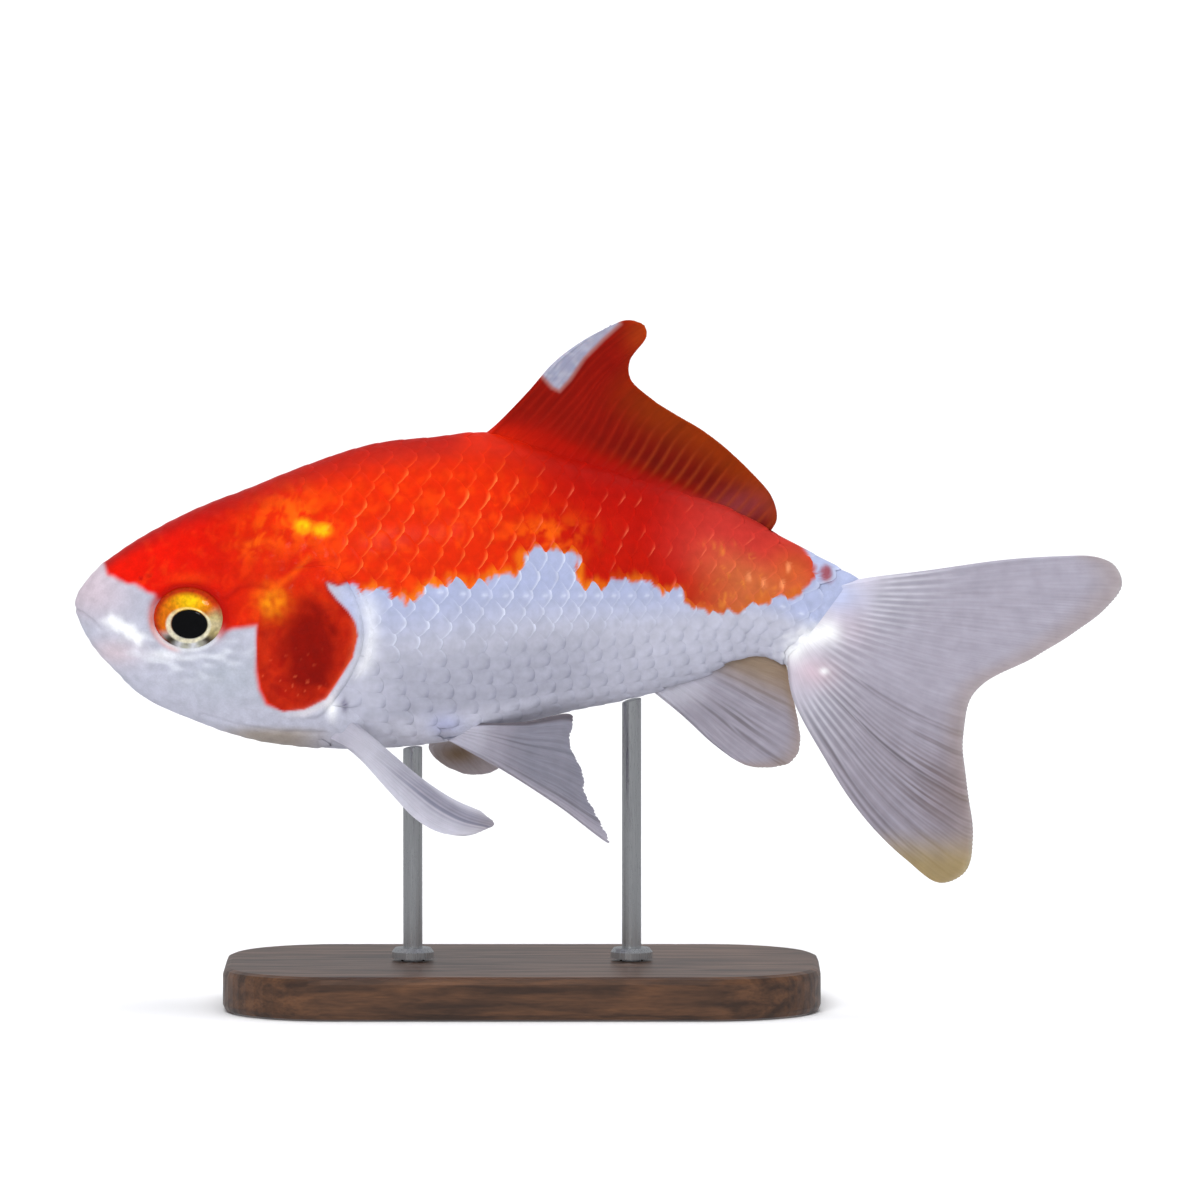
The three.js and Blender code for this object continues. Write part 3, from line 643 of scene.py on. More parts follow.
LATERAL_LINE = [
    (20, 4.6), (30, 3.2), (40, 1.9), (48, 1.35), (64, 1.2), (75, 1.2), (80, 0.5), (85.1, -1.6), (87.6, -2.2),
]
LATTICE_STEP = 0.2
LATTICE_COLUMNS = 512
SCALE_STEPS_ALONG = 14
SCALE_STEPS_ACROSS = 15
SCALE_THICKNESS = 0.035
SCALE_TIP, SCALE_MIDDLE, SCALE_ROOT = 1.0, 0.25, -0.95  # along, in scales
SCALE_CENTRE = 0.6  # along, where a scale is judged to be in the coat or not
SCALE_SPREAD = [0.02, 0.008, 0.5]  # of its reach, lift and tone
MOST_COLUMNS = 70
FLANK_ROWS = range(-13, 12)
COAT_END = 84.6
PORES_FROM = 36  # of the lateral line
MIDLINE_SPANS = {"back": [(24.5, 45.8), (80.5, 84.0)], "belly": [(29.0, 63.5), (79.5, 84.0)]}
COAT_PARTS = {"front": (0, 42), "middle": (42, 61), "rear": (61, BODY_END + 1)}
PATCH = 0.003  # each scale's place on the map for baking


def pitch(at):
    """Distance from a scale to the next one behind it."""
    return 2.7 - 0.75 * fade(36, 63, at)


def row_spacing(at, row):
    """Distance round the body from one row of scales to the next, which is less below the lateral line."""
    return (2.3 - 0.5 * fade(44, 74, at)) * np.where(row > 0, 1.0, 0.84)


def row_offset(row):
    """How far each row is set back from the lateral line's, as a share of a scale."""
    below = np.where(row > -3, 0.42 * row, -1.26 - 0.14 * (row + 3))
    return np.where(row > 0, 0.37 * row, below)


class Lattice:
    """Where columns and rows of scales lie on the body."""

    def __init__(self):
        self.stations = np.arange(0.0, BODY_END + 0.01, LATTICE_STEP)
        self.grid = BodyGrid(self.stations, LATTICE_COLUMNS)
        self.column = np.cumsum(LATTICE_STEP / pitch(self.stations))
        half = LATTICE_COLUMNS // 2
        wanted = np.interp(self.stations, *zip(*LATERAL_LINE))
        left = self.grid.points[:, : half + 1, 2]
        share = np.arange(half + 1) / LATTICE_COLUMNS
        middle = np.array([np.interp(w, zs, share) for w, zs in zip(wanted, left)])
        self.start = {
            "belly": np.zeros_like(self.grid.round),
            "flank": middle * self.grid.round,
            "back": self.grid.round / 2,
        }

    def station(self, column):
        """The station of a column."""
        return np.interp(column, self.column, self.stations)

    def place(self, column, row, line, side):
        """Station, distance round from the belly's midline, share of the way round, point and normal."""
        at = self.station(column)
        walked = np.interp(at, self.stations, self.start[line]) + row * row_spacing(at, row)
        share = walked / np.interp(at, self.stations, self.grid.round)
        share = np.where(side == LEFT, share, 1 - share)
        return at, walked, share, *self.grid.look_up(at, share)


def scale_outline(row, line):
    """Half height in rows and bluntness: pointed on the flank, rounder on the belly and midlines."""
    if line != "flank":
        return 1.0, 2.2
    belly = float(fade(-2.5, -4.5, row))
    return 1.0 - 0.3 * belly, 1.5 + 0.7 * belly


def rear_edge(q, blunt):
    """How far back a scale reaches, at a share q of its half height above or below its middle."""
    return SCALE_MIDDLE + (SCALE_TIP - SCALE_MIDDLE) * np.maximum(1 - np.abs(q) ** blunt, 0) ** (1 / blunt)


def reach_share(along):
    """0 at a scale's middle and 1 at its tip."""
    return (along - SCALE_MIDDLE) / (SCALE_TIP - SCALE_MIDDLE)


def outline_share(along, q, blunt):
    """1 on a scale's rear and side edges and less inside, from shares of its reach and half height."""
    return (np.abs(q) ** blunt + np.maximum(along, 0) ** blunt) ** (1 / blunt)


def in_coat(lattice, column, row, side):
    """Whether a scale of the flank lies clear of the head, the fins' bare bases and the bare midlines."""
    at, walked, _, (x, _, z), _ = lattice.place(column + SCALE_CENTRE, row, "flank", side)
    half = np.interp(at, lattice.stations, lattice.grid.round) / 2
    bare_midline = 45.5 < x < 79 if row > 0 else 65 < x < 79
    margin = (0.25 if bare_midline else 0.6) * row_spacing(at, row)
    in_place = x - coat_edge(z) >= 0.1 and at <= COAT_END and bare(x, z) >= 1
    return in_place and margin < walked < half - margin


def lattice_scales(lattice):
    """Each scale as its column, row, starting line and side."""
    found = []
    for side in (LEFT, RIGHT):
        for row in FLANK_ROWS:
            for column in np.arange(MOST_COLUMNS) + float(row_offset(row)) % 1:
                if column + SCALE_CENTRE <= lattice.column[-1] and in_coat(lattice, column, row, side):
                    found.append((column, row, "flank", side))
    for line, spans in MIDLINE_SPANS.items():
        for k in range(MOST_COLUMNS):
            at = float(lattice.station(k + SCALE_CENTRE))
            if any(start < at < end for start, end in spans):
                found.append((float(k), 0, line, LEFT))
    return found


def neighbours_shade(column, row, own_column, own_row):
    """How near a scale's points lie to the edges of those over it, from 0 to 1."""
    shade = np.zeros_like(column)
    for step in (-1, 0, 1):
        ahead = float(row_offset(own_row + step) - row_offset(own_row)) % 1 - 1
        if ahead < -0.7 and step:
            continue
        half_height, blunt = scale_outline(own_row + step, "flank")
        q = (row - own_row - step) / half_height
        out = outline_share(reach_share(column - own_column - ahead), q, blunt)
        shade = np.maximum(shade, hump(np.maximum(out - 1, 0), 0.13))
    return shade


def scale_colour(x, z, depth, from_edge, q, shade, tone):
    """A scale's colours: painted highlights along its rear edge, painted shade where others lie over it and
    in crescents on the belly, gold beside the white.
    """
    up = height_up(x, z)
    red = fade(-0.2, 0.2, depth)
    white, belly = 1 - red, fade(0.38, 0.26, up)
    within = fade(1.0, 0.75, np.abs(q))
    lower = fade(0.3, -0.1, q)
    rim = hump(from_edge - 0.1, 0.2) * within
    edge_glint = np.clip(0.6 + 0.5 * tone, 0, 1) * fade(56, 46, x) * fade(0.97, 0.85, up) * fade(29, 32, x)
    glint_dash = hump(from_edge - 0.12, 0.16) * hump(q + 0.3, 0.28) * fade(-0.1, 0.5, tone) * fade(46, 54, x)
    fringe = fade(1.1, 0.0, depth) * np.clip(0.7 + 0.5 * tone, 0, 1) * fade(32, 34, x) * fade(84.4, 82.5, x)
    fringe = fringe * np.maximum(fade(80, 77, x), fade(5.0, 3.0, z))
    gold = blend(paint(242, 134, 18), paint(204, 100, 34), fade(64, 72, x))
    pale = np.clip(0.6 + 0.35 * tone, 0, 1) * fade(64, 54, x) * 0.8 + 0.25
    shade_crescent = hump(from_edge - 0.1, 0.4) * within * (0.2 + 0.8 * lower)

    colour = flesh_colour(x, z, depth) * (1 + 0.03 * tone)
    # painted light along the red scales' rims, against the shading of their rounded edges
    colour = blend(colour, colour * paint(255, 250, 250) * 1.3, rim * red * 0.6)
    # painted highlights on the lower rear edges of red scales, and short painted glints on the rear red
    colour = layered(
        colour,
        ((255, 124, 58), rim * red * edge_glint * lower),
        ((246, 120, 84), glint_dash * red * fade(0.97, 0.85, up) * 0.6),
    )
    colour = blend(colour, gold, fringe * red * 0.85)
    colour = blend(colour, colour * paint(196, 150, 150), shade * red * 0.03)
    # painted highlight along the white scales' rear edges, away from the belly
    colour = layered(colour, ((226, 231, 248), rim * white * (1 - belly) * pale))
    # painted shade in crescents low on each belly scale
    colour = blend(colour, colour * paint(206, 208, 220), shade_crescent * white * belly * 0.4)
    return blend(colour, colour * paint(214, 214, 226), shade * white * 0.08)


def make_scale(lattice, column, row, line, side):
    """One scale's top and underside, with its colours, and its place on the map."""
    s = np.linspace(0, 1, SCALE_STEPS_ALONG)[:, None]
    q = np.linspace(-1, 1, SCALE_STEPS_ACROSS)[None, :]
    t = 1 - (1 - s) ** 1.5
    tip_reach, lift, tone = random.normal(0, SCALE_SPREAD)
    half_height, blunt = scale_outline(row, line)
    edge = rear_edge(q, blunt) + tip_reach
    along = SCALE_ROOT + t * (edge - SCALE_ROOT)
    columns, rows = column + along, row + half_height * q + 0 * along
    at, _, _, point, normal = lattice.place(columns, rows, line, side)
    x, _, z = np.moveaxis(point, -1, 0)

    rise = 0.12 - COAT_DEPTH + (0.17 + lift) * t ** 1.1 - 0.03 * q ** 2
    rise += 0.025 * np.sin(math.pi * t) * (1 - q ** 2)
    rise -= 0.075 * fade(0.76, 1.0, outline_share(reach_share(along - tip_reach), q, blunt))
    rise -= 0.3 * tail_taper(at) + 0.22 * fade(83.4, 85.0, at)
    from_edge = (edge - along) * pitch(at)
    own_at, _, own_share, own, _ = lattice.place(column + 0.62, float(row), line, side)
    is_left = own[1] < 0
    teeth = (0.28 * ripple(x * 1.8, z * 0.8, 2.2, 17) + 0.22 * tone) * (1 - 0.75 * fade(79, 83, x))
    depth = 0.3 * float(red_depth(own[0], own[2], is_left)) + 0.7 * red_depth(x, z, is_left) + teeth
    shade = neighbours_shade(columns, rows, column, row) if line == "flank" else hump(along - 0.05, 0.1)
    colour = scale_colour(x, z, depth, from_edge, q, shade, tone)
    if line == "flank" and row == 0 and own_at > PORES_FROM:
        pore = hump((along - SCALE_CENTRE) * 3, 0.4) * hump(rows - row, 0.12)
        colour = layered(colour, ((236, 240, 250), pore * 0.45 * fade(0.2, -0.2, depth)))
        rise += 0.04 * pore
    top = point + normal * rise[..., None]
    under = point + normal * (rise - SCALE_THICKNESS)[..., None]
    root = (on_map(float(lattice.station(column)) / BODY_END), on_map(float(own_share) % 1))
    uv = np.stack(np.broadcast_arrays(t - 0.5, q / 2), -1) * PATCH + root
    return top, under, colour, from_edge, uv


def make_coat(name, scales, lattice, material):
    """Many scales as one joined mesh."""
    n, m = SCALE_STEPS_ALONG, SCALE_STEPS_ACROSS
    size = n * m
    grid = np.arange(size).reshape(n, m)
    rim = np.concatenate([grid[0], grid[1:, -1], grid[-1, -2::-1], grid[-2:0:-1, 0]])
    below = size + np.arange(len(rim))
    wall = np.stack([rim, np.roll(rim, -1), np.roll(below, -1), below], 1)
    sheets = np.concatenate([grid_quads(n, m), wall])
    underside = fan(below, size + len(rim))
    picked = np.concatenate([grid.ravel(), rim, [grid[n // 2, m // 2]]])
    flip = -1 if scales[0][3] == RIGHT else 1
    points, faces, caps, tint, edge, uv = [], [], [], [], [], []
    for k, scale in enumerate(scales):
        top, under, colour, from_edge, place = make_scale(lattice, *scale)
        points += [top.reshape(-1, 3), under.reshape(-1, 3)[picked[size:]]]
        faces.append(sheets[:, ::flip] + k * len(picked))
        caps.append(underside[:, ::flip] + k * len(picked))
        tint.append(colour.reshape(-1, 3)[picked])
        edge.append(from_edge.ravel()[picked])
        uv.append(place.reshape(-1, 2)[picked])
    points, faces, caps, tint, edge, uv = map(np.concatenate, (points, faces, caps, tint, edge, uv))
    sharp = np.tile(np.arange(len(sheets)) >= len(sheets) - len(wall), len(scales))
    return piece(name, points, faces, caps, material, uv, sharp=sharp, tint=tint, edge=edge)


# ---------------------------------------------------------------- eyes

EYE_RINGS, EYE_STEPS = 44, 112
IRIS_CENTRE, IRIS_RADII = (13.05, -1.45), (3.75, 3.3)
PUPIL_CENTRE, PUPIL_RADII = (13.35, -1.95), (2.1, 1.66)
IRIS_PATCHES = (-2.45, -0.72)  # turns of the two dark patches round the pupil
EYE_BACK = 3.4  # from the fish's middle to the eye's back


def flank_point(x, z, side):
    """The head's surface beside a point seen from the side."""
    back, belly = section(BACK, x), section(BELLY, x)
    rise = np.clip((z - (back + belly) / 2) / ((back - belly) / 2), -0.999, 0.999)
    return np.stack([x, side * section(HALF, x) * np.sqrt(1 - rise ** 2) ** fullness(x, rise), z], -1)


def iris_colour(x, z):
    """Gold above, silver below, a pale ring round the black pupil and two dark patches low down."""
    out = oval(x, z, IRIS_CENTRE, IRIS_RADII)
    ring = oval(x, z, PUPIL_CENTRE, PUPIL_RADII)
    turn = np.arctan2(z - PUPIL_CENTRE[1], x - PUPIL_CENTRE[0])
    up = np.sin(turn) - 0.45 * np.cos(turn)
    silver = blend(paint(178, 176, 158), paint(218, 218, 222), 0.5 + 0.5 * np.sin(turn * 9 + 2 * out))
    silver = layered(silver, ((206, 184, 112), fade(0.5, 0.9, np.cos(turn)) * 0.75))
    gold = blend(paint(226, 112, 6), paint(252, 200, 10), hump(turn - math.pi / 2, 0.65))
    gold = layered(gold, ((196, 62, 4), fade(0.72, 1.0, out)))
    pale = blend(paint(238, 230, 200), paint(250, 206, 70), fade(0.1, 1.0, np.sin(turn)) * 0.7)
    width = 1.18 - 0.11 * np.sin(turn + 0.6)
    colour = layered(
        blend(silver, gold, fade(-0.2, 0.3, up)),
        *[((40, 27, 14), hump(turn - place, 0.28) * fade(1.14, 1.34, ring) * 0.95) for place in IRIS_PATCHES],
    )
    colour = blend(colour, pale, fade(width + 0.1, width - 0.02, ring) * fade(0.98, 1.04, ring) * 0.9)
    return layered(
        colour,
        ((190, 44, 6), fade(0.9, 1.02, out) * fade(-0.5, 0.3, up) * 0.8),
        ((4, 4, 6), fade(1.03, 0.97, ring)),
    )


def make_eye(name, side, material):
    """A domed eye, set in the skin's socket, with the iris a little sunk round the pupil."""
    radius = np.linspace(0.02, 1.04, EYE_RINGS)[:, None]
    turn = np.arange(EYE_STEPS) / EYE_STEPS * 2 * math.pi
    x = EYE_CENTRE[0] + EYE_RADII[0] * radius * np.cos(turn)
    z = EYE_CENTRE[1] + EYE_RADII[1] * radius * np.sin(turn)
    dx = flank_point(x + 0.05, z, side) - flank_point(x - 0.05, z, side)
    dz = flank_point(x, z + 0.05, side) - flank_point(x, z - 0.05, side)
    normal = unit(np.cross(dx, dz))
    normal *= np.where(normal[..., 1:2] * side > 0, 1, -1)
    pupil = oval(x, z, PUPIL_CENTRE, PUPIL_RADII)
    dome = -0.38 + 0.92 * np.sqrt(np.maximum(1.09 - radius ** 2, 0))
    dome = dome + 0.06 * fade(1.05, 0.8, pupil) - 0.05 * hump(pupil - 1.12, 0.12)
    front = flank_point(x, z, side) + normal * dome[..., None]
    back = front[-1] * 0.75 + np.array([EYE_CENTRE[0], side * EYE_BACK, EYE_CENTRE[1]]) * 0.25
    middles = [front[0].mean(0), back.mean(0) - (0, side, 0)]
    count = EYE_RINGS * EYE_STEPS
    inner, outer = np.arange(EYE_STEPS), np.arange(count - EYE_STEPS, count)
    rear = outer + EYE_STEPS
    wall = np.stack([outer, rear, np.roll(rear, -1), np.roll(outer, -1)], 1)
    quads = np.concatenate([grid_quads(EYE_RINGS, EYE_STEPS, wrap=True), wall])
    caps = np.concatenate([fan(inner, count + EYE_STEPS), fan(rear, count + EYE_STEPS + 1)[:, ::-1]])
    flip = 1 if side == RIGHT else -1
    colour = iris_colour(x, z).reshape(-1, 3)
    flat = 0.5 + 0.48 * np.stack([radius * np.cos(turn), radius * np.sin(turn)], -1)
    points = np.concatenate([front.reshape(-1, 3), back, middles])
    uv = np.concatenate([flat.reshape(-1, 2), np.full((EYE_STEPS + 2, 2), 0.005)])
    tint = np.concatenate([colour, colour[-EYE_STEPS:], colour[:1], colour[-1:]])
    return piece(name, points, quads[:, ::flip], caps[:, ::flip], material, uv, tint=tint)


# ---------------------------------------------------------------- fins

LINE_STEPS = 48  # between two points of a fin's edge
EDGE_STEPS = 800  # along each edge once evenly spaced
FIN_THICKNESS, ROOT_THICKNESS = 0.13, 0.36  # to each side, the second added at the root
FIN_WAVE = 0.22
FINS = {
    "dorsal_fin": dict(
        root=[(52, 17), (58, 15.4), (66, 13), (74, 9.8)],
        lead=[(45, 18.2), (47.4, 19.8), (51.6, 24), (54.6, 27.4), (57.6, 29.7), (60.5, 31.3)],
        margin=[(63, 32.3), (65, 31.7), (65.2, 30.4), (63.3, 27.6), (63.4, 25.6), (66.2, 23), (72.4, 19.2),
                (76.6, 15.6), (79.5, 12.2)],
        trail=[(78.6, 7.4), (80, 9.6)],
        rays=27, forks=(0.86, 0.99), ray_width=0.24, steps=(432, 110), ragged=0.004, root_swell=(1.5, 0.36),
    ),
    "caudal_fin": dict(
        root=[(85.8, 0.4), (84.4, -2.4), (82.8, -4.6)],
        lead=[(86.7, 2.6), (91.5, 3.4), (97, 4.2), (105.4, 5.6), (111.4, 6.2), (115.8, 6.3)],
        margin=[(118.0, 5.4), (118.8, 3.1), (116.6, 0.1), (109.4, -5.1), (103.2, -8.6), (101.9, -10.5, -0.3),
                (101.3, -15.4, -0.6), (102.2, -21.6, -1), (102.8, -26.2, -1.3), (101.8, -30.0, -1.4)],
        trail=[(81.2, -6.2, -0.5), (82.1, -10.6, -1.2), (86, -17.6, -1.6), (88.9, -22.1, -1.6),
               (92, -25.8, -1.5), (95.2, -28.7, -1.5), (98.9, -31.2, -1.5)],
        rays=27, forks=(0.3, 0.65), ray_width=0.22, steps=(440, 105), ragged=0.004, root_swell=(1.55, 0.42),
        fleshy_root=0.24, ray_height=0.04,
    ),
    "anal_fin": dict(
        root=[(68.6, -8.4), (72, -6.8)],
        lead=[(65, -9.4), (69.2, -12.8), (73, -16.2), (76.3, -18.3)],
        margin=[(79, -18.7), (81.6, -18, 0.5), (82.5, -16.3, 0.8), (82.2, -12.9, 1), (81.4, -9.4, 0.8)],
        trail=[(75, -5.2), (78, -5.5, 0.2), (80.6, -6.2, 0.4)],
        rays=9, forks=(0.45, 0.8), ray_width=0.24, steps=(210, 90), ragged=0.008,
    ),
    "pelvic_fin_left": dict(
        root=[(44.0, -14.8, -3.2)],
        lead=[(42.6, -15.6, -2.2), (49, -18.9, -4.9), (55.5, -22.8, -7.4), (61.7, -26.7, -9.4)],
        margin=[(59.9, -23.6, -9), (58.5, -21.1, -8.6), (58.3, -19.0, -7.9), (56.6, -15.6, -6.6)],
        trail=[(45.6, -13.5, -4.4), (51.2, -13.2, -5.4), (56.8, -12.4, -6.2)],
        rays=9, forks=(0.5, 0.8), ray_width=0.22, steps=(190, 110), root_depth=0.6, ragged=0.02,
    ),
    "pelvic_fin_right": dict(
        root=[(44.8, -14.8, 2.4)],
        lead=[(43.2, -15.4, 1.6), (40.4, -16.5, 5.5), (40.7, -18.2, 10), (42.5, -20.1, 14.4)],
        margin=[(44.2, -21.1, 15.4), (46.4, -20.8, 14.8), (48.8, -19.5, 12.6)],
        trail=[(46.6, -13.6, 3.2), (48.6, -15.8, 6.6), (49.6, -17.5, 10)],
        rays=9, forks=(0.5, 0.8), ray_width=0.22, steps=(190, 100), root_depth=1.0, ragged=0.01,
    ),
    "pectoral_fin_left": dict(
        root=[(29.6, -13.4, -5.4)],
        lead=[(29.2, -14.8, -4), (32.7, -17.4, -7.6), (36.2, -20.95, -10.8), (39.1, -23.7, -12.6),
              (41.9, -25.05, -13.6), (44.7, -25.3, -13.7)],
        margin=[(46.8, -25.0, -13.3), (47.9, -24.4, -12.7), (47.7, -23.7, -12.0)],
        trail=[(30.6, -12, -5.6), (35.5, -16.0, -7.2), (39.8, -19.4, -8.6), (43.3, -21.7, -9.8),
               (46.3, -23.0, -11.0)],
        rays=13, forks=(0.5, 0.8), ray_width=0.2, steps=(200, 120), root_depth=1.4, ragged=0.008,
        root_swell=(0.5, 0.3),
    ),
    "pectoral_fin_right": dict(
        root=[(29.6, -13.4, 5.4)],
        lead=[(29.2, -14.8, 4), (31.6, -15.2, 10), (35, -14.8, 15.4), (39, -13.6, 19.6)],
        margin=[(41.4, -12.6, 20.8), (43.2, -11.8, 20), (43.6, -11.4, 18)],
        trail=[(30.6, -12, 5.6), (35.4, -12, 9.4), (39.6, -11.6, 12.8), (42.8, -11.3, 15.8)],
        rays=13, forks=(0.5, 0.8), ray_width=0.2, steps=(200, 120), root_depth=1.4, ragged=0.008,
    ),
}


def smooth_line(points):
    """Many points of the smooth curve through a few, which are given as along, up and, at times, across."""
    knots = np.array([(p[0], p[2] if len(p) > 2 else 0, p[1]) for p in points], float)
    knots = np.concatenate([[2 * knots[0] - knots[1]], knots, [2 * knots[-1] - knots[-2]]])
    gaps = np.sqrt(np.linalg.norm(np.diff(knots, axis=0), axis=1))
    curve = []
    t = np.linspace(0, 1, LINE_STEPS, endpoint=False)[:, None]
    for i in range(1, len(knots) - 2):
        p0, p1, p2, p3 = knots[i - 1:i + 3]
        d0, d1, d2 = gaps[i - 1:i + 2]
        m1 = ((p1 - p0) / d0 - (p2 - p0) / (d0 + d1) + (p2 - p1) / d1) * d1
        m2 = ((p2 - p1) / d1 - (p3 - p1) / (d1 + d2) + (p3 - p2) / d2) * d1
        bend, twist = -3 * p1 + 3 * p2 - 2 * m1 - m2, 2 * p1 - 2 * p2 + m1 + m2
        curve.append(p1 + m1 * t + bend * t ** 2 + twist * t ** 3)
    return np.concatenate([*curve, knots[-2:-1]])


def pick(curve, share, steps=None):
    """Points at given shares of the way along a curve, by its own evenly spaced steps or by those given."""
    steps = np.linspace(0, 1, len(curve)) if steps is None else steps
    return np.stack([np.interp(share, steps, curve[:, k]) for k in range(3)], -1)


def spaced(curve):
    """Evenly spaced points along a curve given by many."""
    walked = np.concatenate([[0], np.cumsum(np.linalg.norm(np.diff(curve, axis=0), axis=1))])
    return pick(curve, np.linspace(0, walked[-1], EDGE_STEPS), walked)


def fin_sheet(fin, across, along):
    """The fin's middle sheet, filled in between its four edges: with the tail's sweep, and without."""
    outer = smooth_line([*fin["lead"], *fin["margin"], *fin["trail"][::-1]])
    front = LINE_STEPS * (len(fin["lead"]) - 1)
    rear = len(outer) - 1 - LINE_STEPS * (len(fin["trail"]) - 1)
    lead, margin, trail = spaced(outer[:front + 1]), spaced(outer[front:rear + 1]), spaced(outer[rear:][::-1])
    root = spaced(smooth_line([fin["lead"][0], *fin["root"], fin["trail"][0]]))
    a, b = across[..., None], along[..., None]
    corners = (root[0] * (1 - a) + root[-1] * a) * (1 - b) + (margin[0] * (1 - a) + margin[-1] * a) * b
    sheet = (pick(root, across) * (1 - b) + pick(margin, across) * b
             + pick(lead, along) * (1 - a) + pick(trail, along) * a - corners)
    return flexed(sheet[..., 0], sheet[..., 1], sheet[..., 2]), sheet


def ray_pattern(fin, across, along, cell):
    """Height of the fin's rays, from 0 on the membrane to 1 on a ray.

    The rays begin beyond the fin's fleshy root, and each forks twice on its way out.
    """
    beside = across * fin["rays"]
    offset = np.abs(beside - np.floor(beside) - 0.5)
    first, second = fin["forks"]
    offset = np.abs(offset - 0.25 * fade(first, first + 0.22, along))
    offset = np.abs(offset - 0.125 * fade(second, second + 0.2, along))
    width = fin["ray_width"] * (1 - 0.45 * along)
    root = fin.get("fleshy_root", 0)
    return hump(offset * cell, width) * (1 - 0.3 * along) * fade(root - 0.18, root, along)


def streaks(across, along, count, seed):
    """Uneven lengthwise streaks from about -1 to 1."""
    total = 0
    for k in range(5):
        drift = 0.25 * np.sin(along * (2.3 + 0.4 * k) + seed + k)
        total = total + np.sin(across * count * (2.1 + 1.63 * k) + drift + seed * (1.9 + k))
    return total / 2.3


DORSAL_WHITE = [
    (53.4, 25.6), (54.4, 24.5), (55.3, 24.1), (56.5, 25.4), (58.2, 27.9), (60.4, 30.1), (62.3, 31.8),
    (61.5, 33.5), (57.0, 31.0), (52.5, 26.5),
]


def dorsal_colour(x, z, across, along, ray):
    """Dark red, browner to the rear, with a pearly patch along the front edge."""
    rear = fade(0.3, 0.6, across)
    band = ray ** 0.7 * fade(1.0, 0.5, along) * fade(0.1, 0.3, along)
    into = depth_inside(x, z, DORSAL_WHITE)
    colour = layered(
        plain((132, 12, 1), x),
        ((102, 13, 1), rear * 0.8),
        ((132, 44, 1), fade(0.2, 0.5, across) * fade(0.5, 1.0, along + 0.12 * across)),
        ((160, 56, 10), spot(x, z, (64.6, 30.6), (1.8, 2.6)) * 0.8),
        ((176, 18, 4), fade(0.36, 0.05, along) * (1 - 0.5 * rear)),
    )
    colour = layered(
        blend(colour, red_paint(x, z), fade(0.24, 0.04, along)),
        ((150, 62, 66), spot(x, z, (76.0, 11.2), (3.4, 1.8)) * 0.6),
        ((156, 60, 22), band * rear * 0.55),
        ((160, 26, 8), band * (1 - rear) * 0.5),
    )
    colour = dimmed(colour, 0.11 * fade(0.2, 1.0, streaks(across, along, 19, 2)) * (1 - ray))
    colour = layered(colour, ((164, 110, 104), fade(-0.35, 0.1, into) * 0.8))
    cloudy = np.clip(0.5 + 0.4 * mottle(x, z, 1.4, 16), 0, 1)
    return blend(colour, blend(paint(144, 149, 172), paint(168, 171, 188), cloudy), fade(0.0, 0.5, into))


def pale_colour(across, along, ray, rim, dark, count, seed):
    """Greyish white: pale rays over a cloudier membrane, with a warm rim and darker streaks."""
    return layered(
        plain((164, 161, 174), across),
        ((124, 117, 126), dark * 0.7),
        ((92, 86, 92), fade(0.0, 1.3, streaks(across, along, count, seed)) * dark * (1 - 0.6 * ray)),
        ((182, 180, 194), ray * (0.12 + 0.3 * dark)),
        ((194, 192, 206), fade(0.3, 0.0, along) * 0.7),
        ((146, 126, 106), rim),
    )


def caudal_colour(x, z, across, along, ray):
    """Pale rays spreading from a pale root under painted highlights; darker streaks low down to the rear, and
    a tan lower tip.
    """
    lower = fade(0.5, 0.76, across) * fade(0.1, 0.4, along)
    comb = fade(-0.3, 0.7, streaks(across, along, 46, 7))
    spread = fade(0.5, 0.2, along) * fade(0.06, 0.24, along)
    return layered(
        pale_colour(across, along, ray, fade(0.86, 1.0, along) * 0.4, 0.06 + 0.78 * lower, 24, 1),
        ((96, 84, 86), comb * spot(x, z, (98.0, -20.0), (4.0, 6.6)) * 0.7),
        ((152, 150, 162), spread * (1 - ray) * 0.4),
        ((214, 212, 222), spread * ray * 0.6),
        ((208, 202, 215), fade(0.24, 0.06, along) * 0.8),
        ((118, 104, 104), spot(x, z, (99.6, -21.5), (2.6, 5.5)) * 0.5),
        ((152, 134, 92), fade(-24.5, -29.5, z) * 0.9),
        ((208, 180, 190), spot(x, z, (84.6, -7.6), (2.6, 1.8)) * 0.6),
        ((206, 186, 200), spot(x, z, (88.6, -2.4), (2.4, 2.8)) * 0.35),
        ((184, 194, 228), spot(x, z, (87.2, 1.2), (2.6, 1.9)) * 0.8),
        # painted highlights across the tail's root, a streak and a small spot
        ((252, 253, 253), hump(line_distance(x, z, TAIL_GLEAM), 1.35) * 0.9),
        ((252, 252, 253), spot(x, z, (85.7, -7.5), (0.5, 0.4)) * 0.8),
    )


def anal_colour(x, z, across, along, ray):
    """Pale in front, tan to the rear, with dark streaks in the middle and a painted shadow along its trailing
    edge, beside the body.
    """
    dark = hump(across - 0.42, 0.2) * hump(along - 0.55, 0.25)
    return layered(
        pale_colour(across, along, ray, fade(0.86, 1.0, along) * 0.5, 0.5, 9, 2),
        ((142, 122, 98), fade(0.5, 0.9, across) * 0.9),
        ((196, 196, 207), fade(0.4, 0.1, along) * fade(0.5, 0.2, across) * 0.5),
        ((92, 86, 90), dark * fade(-0.1, 0.9, streaks(across, along, 16, 4)) * 0.7),
        # painted shadow along the trailing edge, where the fin meets the body
        ((92, 84, 86), fade(0.965, 0.99, across) * 0.7),
    )


